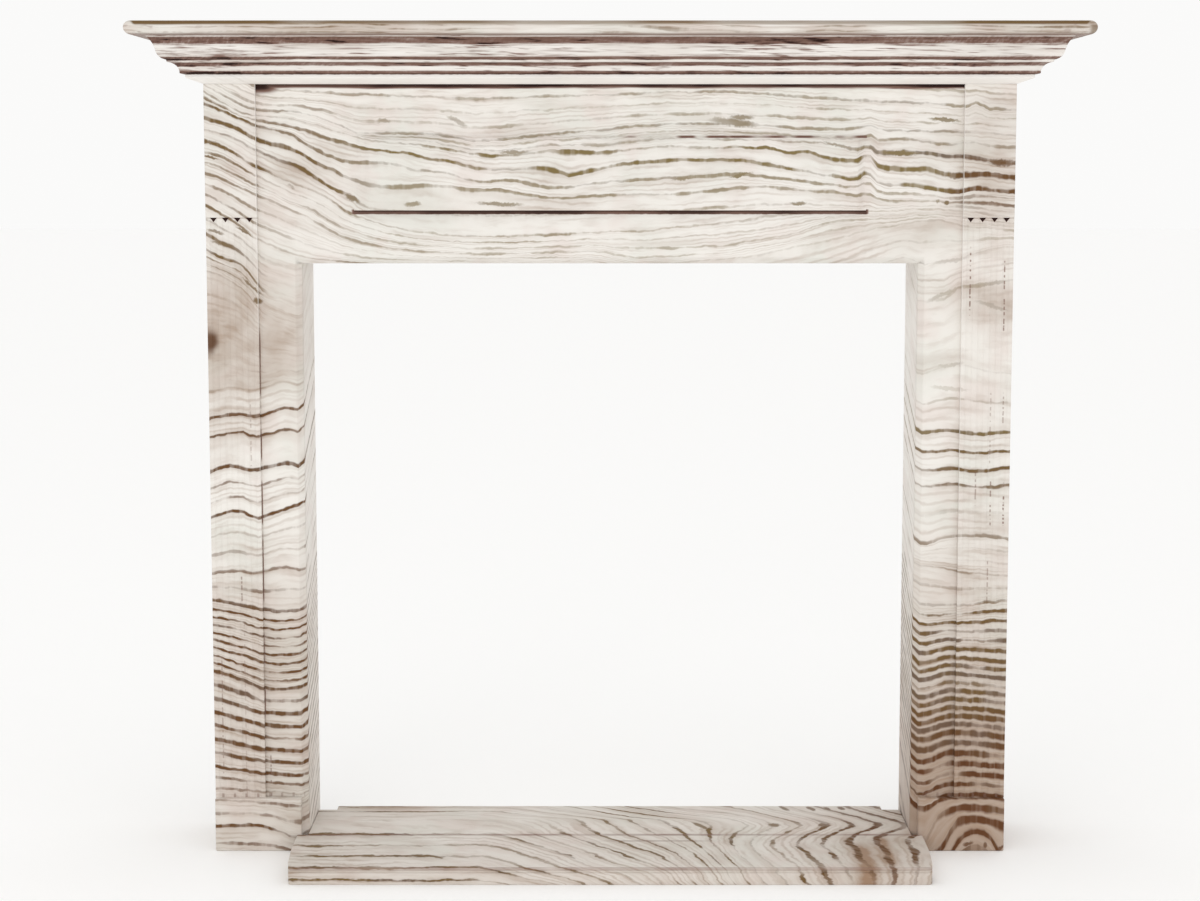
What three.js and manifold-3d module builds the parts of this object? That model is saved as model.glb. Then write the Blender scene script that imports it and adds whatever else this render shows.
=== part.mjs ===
// Fireplace mantelpiece: a limed timber surround with fluted pilasters, a raised frieze tablet,
// a mitred crown under the shelf and a low two-piece hearth.
// Millimetres, +Z up, the front faces -Y, the origin is on the floor in the middle of the plan.

import * as THREE from 'three';
import { mergeVertices } from 'three/addons/utils/BufferGeometryUtils.js';
import Module from 'manifold-3d';

const wasm = await Module();
wasm.setup();

// Driving sizes
const shelfLength = 1372;
const totalHeight = 1223;
const totalDepth = 350;
const boardThickness = 20;
const openingWidth = 904;
const openingHeight = 877;
const splay = 9; // chamfer round the front of the opening
const mitreGap = 0.3; // hairline between mitred lengths

// Planes from front to back
const rearPlane = totalDepth / 2;
const capitalFront = 10;
const shaftFront = 12;
const tabletFront = 11;
const plinthFront = 4;
const friezeFace = 20;
const liningFront = friezeFace + boardThickness;
const shelfFront = -86;

// Half widths from the middle outwards
const openingHalf = openingWidth / 2;
const pilasterInner = 515;
const legHalf = 589.6;
const sideInner = legHalf - boardThickness;
const shelfHalf = shelfLength / 2;
const tabletHalf = 374;

// Heights above the floor
const hearthTop = 25;
const plinthTop = 80;
const capitalBottom = 944;
const tabletBottom = 953;
const tabletTop = 1067;
const bedBottom = 1137;
const bedShoulder = 1145; // below it the bed strip slopes back to the capital
const crownBottom = 1151;
const shelfBottom = totalHeight - boardThickness;

// Flutes of each pilaster
const fluteCount = 4;
const flutePitch = 17.4;
const fluteWidth = 10.8;
const fluteDepth = 2;
const fluteSteps = 8;

const curveSegments = 8; // facets along each curved stretch of an outline

// Crown and bed strip sections, as projection beyond the capital's face
const crownBack = capitalFront - friezeFace;
const bedFace = 22;
const coveFoot = 29;
const filletFace = 45;
const crownTip = 71;
const coveBottom = crownBottom + 3;
const filletBottom = 1167;
const filletTop = 1170;
const coveControl = [31, 1165];
const cymaLowControl = [56.5, 1172];
const cymaMiddle = [58.5, 1184];
const cymaHighControl = [61.5, 1196];

// Hearth details
const hearthSide = [[468, plinthFront], [467, -80], [463.5, -140], [459.5, -170], [456, -totalDepth / 2]];
const hearthClearance = 0.5;
const notchWidth = 28;
const notchDepth = 22;

const finishes = {
  limed: { color: '#e4dbd1', roughness: 0.62 },
  glazed: { color: '#b79f96', roughness: 0.55 },
  hearth: { color: '#ddd3c8', roughness: 0.6 },
};

const mantelpiece = new THREE.Group();
mantelpiece.name = 'fireplace_mantelpiece';

function addPiece(name, geometry, finish) {
  const material = new THREE.MeshStandardMaterial({ ...finishes[finish], metalness: 0 });
  const mesh = new THREE.Mesh(geometry, material);
  mesh.name = name;
  mantelpiece.add(mesh);
}

// A board given by its lowest and highest coordinate in each direction
function board([x0, x1], [y0, y1], [z0, z1]) {
  const geometry = new THREE.BoxGeometry(x1 - x0, y1 - y0, z1 - z0);
  return geometry.translate((x0 + x1) / 2, (y0 + y1) / 2, (z0 + z1) / 2);
}

function shapeOf(points) {
  return new THREE.Shape(points.map(([a, b]) => new THREE.Vector2(a, b)));
}

function extrude(shape, depth) {
  return new THREE.ExtrudeGeometry(shape, { depth, bevelEnabled: false, curveSegments });
}

// Extrusions of a section drawn in XY, YZ or XZ along the third direction
function alongZ(shape, z0, z1) {
  return extrude(shape, z1 - z0).translate(0, 0, z0);
}

function alongX(shape, x0, x1) {
  const turn = new THREE.Matrix4().makeBasis(
    new THREE.Vector3(0, 1, 0), new THREE.Vector3(0, 0, 1), new THREE.Vector3(1, 0, 0));
  return extrude(shape, x1 - x0).applyMatrix4(turn).translate(x0, 0, 0);
}

function alongY(shape, y0, y1) {
  const turn = new THREE.Matrix4().makeBasis(
    new THREE.Vector3(1, 0, 0), new THREE.Vector3(0, 0, 1), new THREE.Vector3(0, -1, 0));
  return extrude(shape, y1 - y0).applyMatrix4(turn).translate(0, y1, 0);
}

function toSolid(geometry) {
  const bare = geometry.clone();
  bare.deleteAttribute('normal');
  bare.deleteAttribute('uv');
  const merged = mergeVertices(bare, 1e-4);
  return new wasm.Manifold(new wasm.Mesh({
    numProp: 3,
    vertProperties: new Float32Array(merged.attributes.position.array),
    triVerts: new Uint32Array(merged.index.array),
  }));
}

function toGeometry(solid) {
  const mesh = solid.getMesh();
  const geometry = new THREE.BufferGeometry();
  geometry.setAttribute('position', new THREE.BufferAttribute(mesh.vertProperties, 3));
  geometry.setIndex(new THREE.BufferAttribute(mesh.triVerts, 1));
  geometry.computeVertexNormals();
  return geometry;
}

// Shelf: a board with a full round nosing along its front and both ends
function shelf() {
  const radius = boardThickness / 2;
  const middle = shelfBottom + radius;

  const frontSection = new THREE.Shape();
  frontSection.moveTo(rearPlane, totalHeight);
  frontSection.lineTo(shelfFront + radius, totalHeight);
  frontSection.absarc(shelfFront + radius, middle, radius, Math.PI / 2, Math.PI * 1.5, false);
  frontSection.lineTo(rearPlane, shelfBottom);

  const endSection = new THREE.Shape();
  endSection.absarc(shelfHalf - radius, middle, radius, -Math.PI / 2, Math.PI / 2, false);
  endSection.absarc(radius - shelfHalf, middle, radius, Math.PI / 2, Math.PI * 1.5, false);

  const nosedFront = toSolid(alongX(frontSection, -shelfHalf, shelfHalf));
  const nosedEnds = toSolid(alongY(endSection, shelfFront, rearPlane));
  return toGeometry(nosedFront.intersect(nosedEnds));
}

// Crown: cyma above, a narrow fillet, then a cove, drawn as (projection, height)
function crownSection() {
  const section = new THREE.Shape();
  section.moveTo(crownBack, crownBottom);
  section.lineTo(coveFoot, crownBottom);
  section.lineTo(coveFoot, coveBottom);
  section.quadraticCurveTo(...coveControl, filletFace, filletBottom);
  section.lineTo(filletFace, filletTop);
  section.quadraticCurveTo(...cymaLowControl, ...cymaMiddle);
  section.quadraticCurveTo(...cymaHighControl, crownTip, shelfBottom);
  section.lineTo(crownBack, shelfBottom);
  return section;
}

// Bed strip under the crown: upright above, sloped back to the capital below
function bedSection() {
  return shapeOf([
    [crownBack, bedBottom],
    [0, bedBottom],
    [bedFace, bedShoulder],
    [bedFace, crownBottom],
    [crownBack, crownBottom],
  ]);
}

// Bends a straight run of a section into its mitred place: place(projection, height, end) gives
// the point, and end is 0 or 1 for the two ends of the run
function mitredRun(section, place) {
  const geometry = extrude(section, 1);
  const position = geometry.attributes.position;
  for (let i = 0; i < position.count; i += 1) {
    const point = place(position.getX(i), position.getY(i), Math.round(position.getZ(i)));
    position.setXYZ(i, ...point);
  }
  geometry.computeVertexNormals();
  return geometry;
}

function frontRun(section) {
  return mitredRun(section, (projection, height, end) => {
    const reach = legHalf + projection - mitreGap / 2;
    return [end ? -reach : reach, capitalFront - projection, height];
  });
}

function sideRun(section, side) {
  return mitredRun(section, (projection, height, end) => {
    const atMitre = side > 0 ? end === 1 : end === 0;
    const mitre = capitalFront - projection + mitreGap / 2;
    return [side * (legHalf + projection), atMitre ? mitre : rearPlane, height];
  });
}

// Frieze board, with the splay of the opening's head cut into its lower front edge
function friezeBoard() {
  const blank = board(
    [-sideInner, sideInner], [friezeFace, liningFront], [openingHeight, shelfBottom]);
  const splayHalf = openingHalf + splay;
  const splayTop = openingHeight + splay;
  const outline = [[-splayHalf, 0], [splayHalf, 0], [splayHalf, splayTop], [-splayHalf, splayTop]];
  const cutter = alongY(shapeOf(outline), friezeFace, friezeFace + splay);
  const position = cutter.attributes.position;
  for (let i = 0; i < position.count; i += 1) {
    if (position.getY(i) > friezeFace + splay / 2) {
      position.setX(i, Math.sign(position.getX(i)) * openingHalf);
      position.setZ(i, Math.min(position.getZ(i), openingHeight));
    }
  }
  return toGeometry(toSolid(blank).subtract(toSolid(cutter)));
}

// Pilaster shaft: a board whose face carries evenly spaced flutes
function pilasterShaft(side) {
  const middle = (pilasterInner + legHalf) / 2;
  const radius = (fluteWidth ** 2 / 4 + fluteDepth ** 2) / (2 * fluteDepth);
  const arcCentre = shaftFront + fluteDepth - radius;
  const halfAngle = Math.asin(fluteWidth / 2 / radius);
  const points = [[pilasterInner, friezeFace], [pilasterInner, shaftFront]];
  for (let flute = 0; flute < fluteCount; flute += 1) {
    const centre = middle + (flute - (fluteCount - 1) / 2) * flutePitch;
    for (let step = 0; step <= fluteSteps; step += 1) {
      const angle = halfAngle * (2 * step / fluteSteps - 1);
      points.push([centre + radius * Math.sin(angle), arcCentre + radius * Math.cos(angle)]);
    }
  }
  points.push([legHalf, shaftFront], [legHalf, friezeFace]);
  return alongZ(shapeOf(points.map(([x, y]) => [side * x, y])), plinthTop, capitalBottom);
}

// Front stile of a leg, with the opening's splay down its inner edge
function frontStile(side) {
  const points = [
    [openingHalf + splay, friezeFace],
    [sideInner, friezeFace],
    [sideInner, liningFront],
    [openingHalf, liningFront],
    [openingHalf, friezeFace + splay],
  ];
  return alongZ(shapeOf(points.map(([x, y]) => [side * x, y])), 0, openingHeight);
}

// Outer hearth slab, its ends drawn in a little towards the front
function hearthSlab() {
  const right = [...hearthSide].reverse();
  const left = hearthSide.map(([x, y]) => [-x, y]);
  return alongZ(shapeOf([...left, ...right]), 0, hearthTop);
}

// Inner hearth between the jambs, notched at its two rear corners
function hearthInner() {
  const half = openingHalf - hearthClearance;
  const points = [
    [-half, plinthFront],
    [half, plinthFront],
    [half, rearPlane - notchDepth],
    [half - notchWidth, rearPlane - notchDepth],
    [half - notchWidth, rearPlane],
    [notchWidth - half, rearPlane],
    [notchWidth - half, rearPlane - notchDepth],
    [-half, rearPlane - notchDepth],
  ];
  return alongZ(shapeOf(points), 0, hearthTop);
}

addPiece('mantel_shelf', shelf(), 'limed');
addPiece('crown_front', frontRun(crownSection()), 'glazed');
addPiece('bed_strip_front', frontRun(bedSection()), 'limed');
addPiece('frieze_board', friezeBoard(), 'limed');
addPiece('frieze_tablet', board(
  [-tabletHalf, tabletHalf], [tabletFront, friezeFace], [tabletBottom, tabletTop]), 'limed');
addPiece('soffit_board', board(
  [-openingHalf - boardThickness, openingHalf + boardThickness],
  [liningFront, rearPlane],
  [openingHeight, openingHeight + boardThickness]), 'limed');

for (const [hand, side] of [['left', -1], ['right', 1]]) {
  const across = (inner, outer) => [inner, outer].map((x) => side * x).sort((a, b) => a - b);
  addPiece(`crown_return_${hand}`, sideRun(crownSection(), side), 'glazed');
  addPiece(`bed_strip_${hand}`, sideRun(bedSection(), side), 'limed');
  addPiece(`capital_block_${hand}`, board(
    across(pilasterInner, legHalf), [capitalFront, friezeFace], [capitalBottom, bedBottom]), 'limed');
  addPiece(`pilaster_shaft_${hand}`, pilasterShaft(side), 'limed');
  addPiece(`plinth_block_${hand}`, board(
    across(openingHalf + splay, legHalf), [plinthFront, friezeFace], [0, plinthTop]), 'limed');
  addPiece(`front_stile_${hand}`, frontStile(side), 'limed');
  addPiece(`jamb_lining_${hand}`, board(
    across(openingHalf, openingHalf + boardThickness),
    [liningFront, rearPlane],
    [0, openingHeight]), 'limed');
  addPiece(`side_board_${hand}`, board(
    across(sideInner, legHalf), [friezeFace, rearPlane], [0, bedBottom]), 'limed');
}

addPiece('hearth_slab', hearthSlab(), 'hearth');
addPiece('hearth_inner', hearthInner(), 'hearth');

export default mantelpiece;
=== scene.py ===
import functools
import math

import bmesh
import bpy
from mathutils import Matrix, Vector


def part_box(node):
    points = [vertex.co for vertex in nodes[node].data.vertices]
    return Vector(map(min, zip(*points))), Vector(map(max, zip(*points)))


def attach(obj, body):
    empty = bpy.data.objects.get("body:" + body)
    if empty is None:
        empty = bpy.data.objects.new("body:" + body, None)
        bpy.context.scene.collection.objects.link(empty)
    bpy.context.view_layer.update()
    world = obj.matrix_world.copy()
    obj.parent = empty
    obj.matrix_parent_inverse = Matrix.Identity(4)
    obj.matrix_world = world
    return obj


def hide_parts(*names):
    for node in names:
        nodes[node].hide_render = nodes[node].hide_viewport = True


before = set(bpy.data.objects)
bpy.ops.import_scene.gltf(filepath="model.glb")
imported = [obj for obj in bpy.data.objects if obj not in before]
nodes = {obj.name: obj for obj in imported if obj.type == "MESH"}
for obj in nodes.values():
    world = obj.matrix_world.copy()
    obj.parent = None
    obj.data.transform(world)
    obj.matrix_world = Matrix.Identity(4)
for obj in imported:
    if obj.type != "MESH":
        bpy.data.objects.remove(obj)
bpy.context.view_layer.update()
scene = bpy.context.scene
print("frame loaded:", len(nodes), "pieces")


# arithmetic on node sockets, so that a field reads like a formula

class Flow:
    def __init__(self, tree, socket):
        self.tree = tree
        self.socket = socket


def feed(tree, socket, value):
    if isinstance(value, Flow):
        tree.links.new(value.socket, socket)
    else:
        socket.default_value = value


def calc(tree, operation, *values):
    node = tree.nodes.new("ShaderNodeMath")
    node.operation = operation
    for socket, value in zip(node.inputs, values):
        feed(tree, socket, value)
    return Flow(tree, node.outputs[0])


def addSign(sign, operation):
    setattr(Flow, "__" + sign + "__", lambda a, b: calc(a.tree, operation, a, b))
    setattr(Flow, "__r" + sign + "__", lambda a, b: calc(a.tree, operation, b, a))


for sign, operation in (("add", "ADD"), ("sub", "SUBTRACT"), ("mul", "MULTIPLY"), ("truediv", "DIVIDE")):
    addSign(sign, operation)


def rampUp(value, low, high, kind="SMOOTHSTEP"):  # 0 at low, 1 at high, held outside
    tree = value.tree
    node = tree.nodes.new("ShaderNodeMapRange")
    node.interpolation_type = kind
    for name, part in (("Value", value), ("From Min", low), ("From Max", high)):
        feed(tree, node.inputs[name], part)
    return Flow(tree, node.outputs["Result"])


def band(value, low, high, soft):  # 1 between low and high
    return rampUp(value, low - soft, low) * (1 - rampUp(value, high, high + soft))


def hump(value, middle, width):  # a bell round middle
    away = (value - middle) / width
    return calc(value.tree, "EXPONENT", away * away * -1.0)


def lower(a, b):
    return calc(a.tree, "MINIMUM", a, b)


def upper(a, b):
    return calc(a.tree, "MAXIMUM", a, b)


def strongest(parts):
    return functools.reduce(upper, parts)


def size(value):
    return calc(value.tree, "ABSOLUTE", value)


def blend(a, b, share):
    return a + (b - a) * share


def joinXyz(tree, x, y, z):
    node = tree.nodes.new("ShaderNodeCombineXYZ")
    for socket, value in zip(node.inputs, (x, y, z)):
        feed(tree, socket, value)
    return Flow(tree, node.outputs[0])


def splitXyz(vector):
    node = vector.tree.nodes.new("ShaderNodeSeparateXYZ")
    feed(vector.tree, node.inputs[0], vector)
    return [Flow(vector.tree, socket) for socket in node.outputs]


def cloud(x, y, z, detail=1.0):  # smooth noise, 0 to 1, one feature per unit
    tree = next(part.tree for part in (x, y, z) if isinstance(part, Flow))
    node = tree.nodes.new("ShaderNodeTexNoise")
    node.noise_dimensions = "3D"
    feed(tree, node.inputs["Vector"], joinXyz(tree, x, y, z))
    node.inputs["Scale"].default_value = 1.0
    node.inputs["Detail"].default_value = detail
    return Flow(tree, node.outputs[0])


def lot(value):  # one random number for each whole number
    node = value.tree.nodes.new("ShaderNodeTexWhiteNoise")
    node.noise_dimensions = "1D"
    feed(value.tree, node.inputs["W"], value)
    return Flow(value.tree, node.outputs["Value"])


def mixColour(tree, a, b, share):
    node = tree.nodes.new("ShaderNodeMix")
    node.data_type = "RGBA"
    feed(tree, node.inputs[0], share)
    feed(tree, node.inputs[6], a)
    feed(tree, node.inputs[7], b)
    return Flow(tree, node.outputs[2])


def drawCurve(curve, points, handle):
    for spot, place in enumerate(points):
        if spot < 2:
            curve.points[spot].location = place
        else:
            curve.points.new(*place)
    for point in curve.points:
        point.handle_type = handle


def curveOf(value, points):  # a drawn curve over 0 to 1 of value
    node = value.tree.nodes.new("ShaderNodeFloatCurve")
    drawCurve(node.mapping.curves[0], points, "VECTOR")
    node.mapping.update()
    feed(value.tree, node.inputs["Value"], value)
    return Flow(value.tree, node.outputs[0])


socketKinds = {"value": "NodeSocketFloat", "whole": "NodeSocketInt", "vector": "NodeSocketVector",
               "colour": "NodeSocketColor", "object": "NodeSocketObject", "material": "NodeSocketMaterial",
               "geometry": "NodeSocketGeometry"}


def newTree(kind, name, inputs, outputs):
    tree = bpy.data.node_groups.new(name, kind)
    for side, sockets in (("INPUT", inputs), ("OUTPUT", outputs)):
        for label, sort in sockets:
            tree.interface.new_socket(label, in_out=side, socket_type=socketKinds[sort])
    start = tree.nodes.new("NodeGroupInput")
    end = tree.nodes.new("NodeGroupOutput")
    given = {socket.name: Flow(tree, socket) for socket in start.outputs if socket.name}
    return tree, given, end


def newGroup(name, inputs, outputs):
    return newTree("ShaderNodeTree", name, inputs, outputs)


def numbers(*labels):
    return [(label, "value") for label in labels]


def placeGroup(tree, group, **values):
    node = tree.nodes.new("ShaderNodeGroup")
    node.node_tree = group
    for label, value in values.items():
        feed(tree, node.inputs[label], value)
    return {socket.name: Flow(tree, socket) for socket in node.outputs}


def closeGroup(tree, end, **values):
    for label, value in values.items():
        feed(tree, end.inputs[label], value)


fieldOutputs = numbers("Count", "Along", "Width", "Strength", "Brown", "Shade", "Tan", "Eye", "Mark")

# the camera, and where a place in its picture lies on the front of the piece

view = {"place": (-0.0146, -3.648, 1.013), "pitchDown": 6.4, "lens": 75.0, "sensor": 36.0,
        "picture": (1200, 901)}
grainPlane = 0.016  # the front plane that the grain is drawn on


def onFront(across, down):
    pitch = math.radians(view["pitchDown"])
    wide, tall = view["picture"]
    scale = view["lens"] / view["sensor"] * wide
    right, up = (across - wide / 2) / scale, (tall / 2 - down) / scale
    reach = (grainPlane - view["place"][1]) / (math.cos(pitch) + up * math.sin(pitch))
    rise = up * math.cos(pitch) - math.sin(pitch)
    return view["place"][0] + right * reach, view["place"][2] + rise * reach


# lines of growth drawn over the front, from the top down: rings up to the next one (left, right),
# how far the lines between fade, strength (left pilaster, left stile, middle, right stile, right pilaster)
# and width in mm (left, middle, right) of the dark line, and its run in places of the picture

guideRows = [
    ((2, 2), 0.1, (0.45, 0.3, 0.25, 0.3, 0.35), (3.2, 3, 3.2),
     [(190, 30), (250, 56), (330, 66), (480, 70), (610, 68), (750, 66), (900, 72), (1030, 80)]),
    ((3, 3), 0.1, (0.6, 0.55, 0.55, 0.6, 0.6), (3.6, 3.6, 3.8),
     [(190, 58), (230, 75), (255, 86), (310, 92), (400, 96), (480, 99), (530, 97), (610, 95),
      (680, 92), (715, 92), (750, 93), (810, 98), (860, 101), (930, 104), (965, 107), (977, 103),
      (987, 110), (1030, 110)]),
    ((1, 1), 0, (0.6, 0.6, 0.6, 0.62, 0.55), (3.6, 3.8, 3.8),
     [(190, 76), (215, 92), (230, 99), (250, 109), (270, 112), (295, 112), (310, 115), (340, 126),
      (360, 134), (400, 134), (435, 135), (460, 139), (480, 141), (530, 137), (600, 130), (660, 125),
      (700, 124), (750, 125), (775, 126.5), (810, 128.5), (845, 129), (860, 127), (871, 125),
      (880, 129), (915, 131), (960, 132), (1030, 136)]),
    ((1, 1), 0, (0, 0, 0.45, 0.7, 0.55), (3.2, 3.4, 4.4),
     [(190, 78.5), (230, 101.5), (250, 111), (290, 114.3), (320, 122), (345, 130), (360, 135.2),
      (370, 136.3), (410, 137.2), (450, 141.5), (475, 144.8), (493, 146), (530, 142), (560, 140),
      (595, 138), (640, 133), (665, 131.5), (700, 131.5), (740, 132), (775, 133.5), (805, 136),
      (825, 138.5), (845, 139), (860, 137), (870, 135), (878, 140), (905, 139), (930, 142),
      (950, 144), (975, 142), (985, 145), (1030, 147)]),
    ((1, 1), 0, (0, 0, 0.5, 0.9, 0.85), (3.2, 3.6, 6),
     [(190, 80), (230, 103.8), (250, 112.5), (290, 116.2), (320, 124), (345, 132), (360, 136.5),
      (370, 138.2), (410, 140.4), (450, 145.3), (475, 149), (493, 150.3), (530, 147.4), (560, 145),
      (595, 145), (640, 141), (665, 138.6), (700, 139.2), (740, 139.6), (775, 141), (805, 142.5),
      (820, 143), (840, 146), (858, 151), (868, 147), (878, 153), (920, 153), (940, 155), (965, 157),
      (985, 161), (1030, 165)]),
    ((1, 1), 0, (0.5, 0.5, 0.85, 0.95, 1), (3.6, 4.6, 6.6),
     [(190, 82), (230, 106), (250, 114), (290, 118), (320, 126), (345, 134), (370, 140),
      (410, 143.5), (450, 149), (475, 153), (493, 154.5), (530, 152.5), (560, 150), (595, 151.5),
      (640, 149), (665, 145.5), (700, 147), (740, 147), (775, 148.5), (788, 152), (805, 151),
      (825, 157), (845, 160.5), (860, 160), (867, 155), (880, 167), (890, 169), (925, 168.5),
      (940, 173), (960, 175), (980, 174), (1030, 178)]),
    ((1, 1), 0, (0.7, 0.7, 0.9, 0.95, 1), (3.8, 5, 7),
     [(190, 90), (230, 111), (250, 119), (280, 124), (300, 129), (335, 140), (352, 144), (370, 149),
      (410, 153), (425, 158), (445, 160.5), (475, 168), (497, 169), (530, 168), (550, 169),
      (560, 171.5), (570, 176), (580, 174), (597, 170), (610, 166), (640, 162.5), (690, 159.5),
      (740, 160), (770, 164), (800, 170), (830, 176), (855, 179), (866, 174), (872, 177), (880, 184),
      (900, 185), (920, 187), (935, 190), (960, 193), (975, 189), (990, 190), (1030, 194)]),
    ((1, 1), 0, (0.85, 0.72, 0.66, 0.45, 0.45), (4.2, 4, 3.6),
     [(190, 96), (215, 108), (240, 118), (255, 125), (275, 130), (290, 134), (310, 147), (340, 160),
      (352, 162), (385, 163), (400, 165), (412, 169.5), (440, 172), (460, 178), (480, 181.5),
      (512, 181), (530, 184), (550, 189), (600, 183), (680, 177.5), (740, 175), (770, 178),
      (800, 181), (830, 185), (855, 187), (866, 183), (880, 192), (920, 195), (960, 199), (976, 196),
      (1030, 200)]),
    ((1, 1), 0, (1, 0.85, 0.66, 0.55, 0.7), (5.4, 4.2, 4.6),
     [(190, 113), (205, 118), (220, 122), (240, 130), (255, 139), (270, 144), (285, 146.5),
      (300, 153), (315, 162), (330, 168), (345, 176), (358, 181), (368, 185), (400, 187),
      (430, 184.5), (450, 186), (470, 189), (490, 189), (525, 193.5), (560, 198), (600, 195),
      (650, 194), (700, 192), (760, 186), (785, 188), (805, 190), (840, 192), (860, 196), (866, 193),
      (880, 200), (900, 201), (945, 202), (990, 203.5), (1030, 208)]),
    ((1, 1), 0, (1, 0.95, 0.55, 0.35, 0.35), (5.4, 3.8, 3.4),
     [(190, 126), (205, 130), (220, 133), (240, 141), (260, 152), (280, 160), (300, 168), (320, 181),
      (340, 193), (350, 196), (358, 203), (370, 208), (400, 212), (450, 215), (500, 216), (550, 215),
      (600, 213), (650, 211), (700, 209), (750, 206), (800, 204), (840, 206), (866, 206), (880, 208),
      (930, 206), (970, 208), (1030, 214)]),
    ((3, 2), 0.12, (0.95, 0.75, 0.66, 0.4, 0.32), (5, 4, 3.4),
     [(190, 138), (203, 141), (218, 144), (235, 153), (250, 163), (270, 173), (290, 183), (310, 190),
      (330, 200), (345, 211), (355, 216), (370, 221), (400, 229), (420, 232), (450, 235.5),
      (490, 237), (540, 236), (590, 233), (620, 231), (640, 231), (660, 229.5), (690, 226),
      (720, 223), (740, 221), (760, 218), (790, 214), (840, 211), (880, 211), (930, 209), (970, 212),
      (1030, 220)]),
    ((3, 2), 0.12, (0.66, 0.5, 0.5, 0.4, 0.34), (3.8, 3.8, 3.6),
     [(190, 164), (205, 173), (220, 178), (240, 187), (260, 196), (285, 207), (310, 219), (340, 236),
      (370, 245), (400, 250), (450, 253), (500, 254), (560, 252), (620, 249.5), (690, 247),
      (720, 246), (750, 242), (780, 237), (800, 232), (830, 222), (860, 219), (900, 217), (930, 215),
      (970, 218), (1030, 226)]),
    ((3, 2), 0.05, (0.8, 0.5, 0.45, 0.42, 0.42), (4.2, 3.6, 3.8),
     [(190, 197), (210, 207), (225, 216), (240, 226), (256, 238), (285, 250), (310, 258), (340, 263),
      (400, 267), (500, 268), (640, 267), (700, 262), (760, 254), (800, 246), (830, 240), (860, 232),
      (900, 224), (935, 220), (970, 226), (1030, 232)]),
    ((3, 2), 0.16, (0.88, 0.16, 0.3, 0.34, 0.34), (4.4, 3.6, 3.6),
     [(190, 238), (205, 248), (220, 257), (240, 264), (252, 276), (262, 290), (285, 300), (320, 310),
      (480, 340), (760, 330), (880, 268), (905, 258), (922, 264), (960, 258), (985, 250),
      (1030, 246)]),
    ((5, 3), 0.3, (0.62, 0.14, 0.3, 0.44, 0.46), (4, 3.6, 5),
     [(190, 268), (210, 272), (232, 281), (250, 296), (262, 312), (285, 322), (320, 335), (480, 390),
      (760, 360), (895, 330), (922, 302), (945, 300), (958, 288), (980, 284), (1013, 280),
      (1030, 278)]),
    ((1, 2), 0, (0.46, 0.32, 0.3, 0.4, 0.36), (3.4, 3.6, 4.2),
     [(190, 392), (215, 390), (232, 386), (250, 390), (262, 388), (285, 382), (300, 384), (330, 390),
      (480, 420), (760, 400), (895, 380), (925, 373), (940, 367), (958, 364), (985, 370),
      (1012, 373), (1030, 374)]),
    ((1, 2), 0, (0.95, 0.9, 0.3, 0.8, 0.85), (4, 3.6, 4.4),
     [(190, 421), (205, 419), (232, 414.5), (243, 414.5), (254, 417), (266, 415), (287, 408.5),
      (296, 411), (310, 405), (480, 440), (760, 450), (905, 430), (925, 434), (950, 432),
      (975, 434.5), (1012, 433), (1030, 434)]),
    ((1, 1), 0, (0.85, 0.8, 0.3, 0.8, 0.85), (3.8, 3.6, 4.6),
     [(190, 440), (205, 438), (235, 433), (245, 432), (253, 437), (266, 435.5), (287, 430),
      (296, 433), (310, 428), (480, 460), (760, 470), (905, 466), (925, 471), (950, 468), (975, 471),
      (1012, 467), (1030, 468)]),
    ((3, 2), 0.4, (1, 0.95, 0.3, 0.7, 0.75), (5, 3.6, 4.4),
     [(190, 476), (205, 474), (213, 472.5), (230, 466.5), (243, 469), (254, 470.5), (268, 468),
      (288, 464), (299, 468), (310, 462), (480, 475), (760, 480), (905, 484), (925, 487), (950, 484),
      (980, 487), (1012, 485), (1030, 485)]),
    ((3, 3), 0.35, (1, 0.95, 0.3, 0.6, 0.62), (4.6, 3.6, 4.6),
     [(190, 521), (205, 519), (238, 511), (247, 512.5), (257, 518), (275, 513), (290, 508),
      (303, 504), (480, 520), (760, 535), (905, 540), (925, 545), (945, 539), (975, 536),
      (1012, 540), (1030, 541)]),
    ((2, 2), 0.1, (0.6, 0.6, 0.3, 0.5, 0.48), (3.8, 3.6, 4),
     [(190, 577), (210, 574), (232, 571), (255, 573), (285, 568), (303, 572), (480, 575), (760, 575),
      (905, 566), (925, 566), (960, 572), (1012, 576), (1030, 577)]),
    ((9, 6), -0.05, (0.85, 0.85, 0.3, 0.85, 0.8), (4.6, 3.6, 5.2),
     [(190, 596), (210, 600), (240, 605), (280, 613), (303, 611), (480, 605), (760, 604), (905, 598),
      (920, 604), (950, 606), (985, 602), (1012, 599), (1030, 598)]),
    ((7, 9), 0, (1, 1, 0.3, 1, 1), (5, 3.6, 6.2),
     [(190, 664), (210, 669), (240, 679), (275, 690), (303, 688), (480, 680), (760, 664), (905, 658),
      (920, 664), (950, 657), (985, 660), (1012, 662), (1030, 663)]),
    ((3, 6), 0.1, (0.9, 0.9, 0.3, 1, 1), (5, 3.6, 8.6),
     [(190, 760), (210, 764), (250, 771), (290, 776), (310, 777), (480, 760), (760, 740), (905, 736),
      (920, 741), (955, 732), (1012, 737), (1030, 738)]),
    ((2, 1), 0.2, (0.72, 0.7, 0.3, 1, 1), (4.6, 3.6, 7),
     [(190, 797), (240, 799), (270, 801), (310, 804), (480, 800), (760, 798), (905, 800), (922, 806),
      (940, 797), (960, 794), (1030, 797)]),
    ((1, 1), 0, (0.95, 0.95, 0.3, 0.7, 1), (5.2, 3.6, 10.5),
     [(190, 825), (222, 824.5), (250, 823), (275, 827), (285, 831), (293, 835), (310, 835),
      (480, 825), (760, 850), (905, 852), (924, 842), (931, 825), (936, 815), (943, 810.6),
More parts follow.
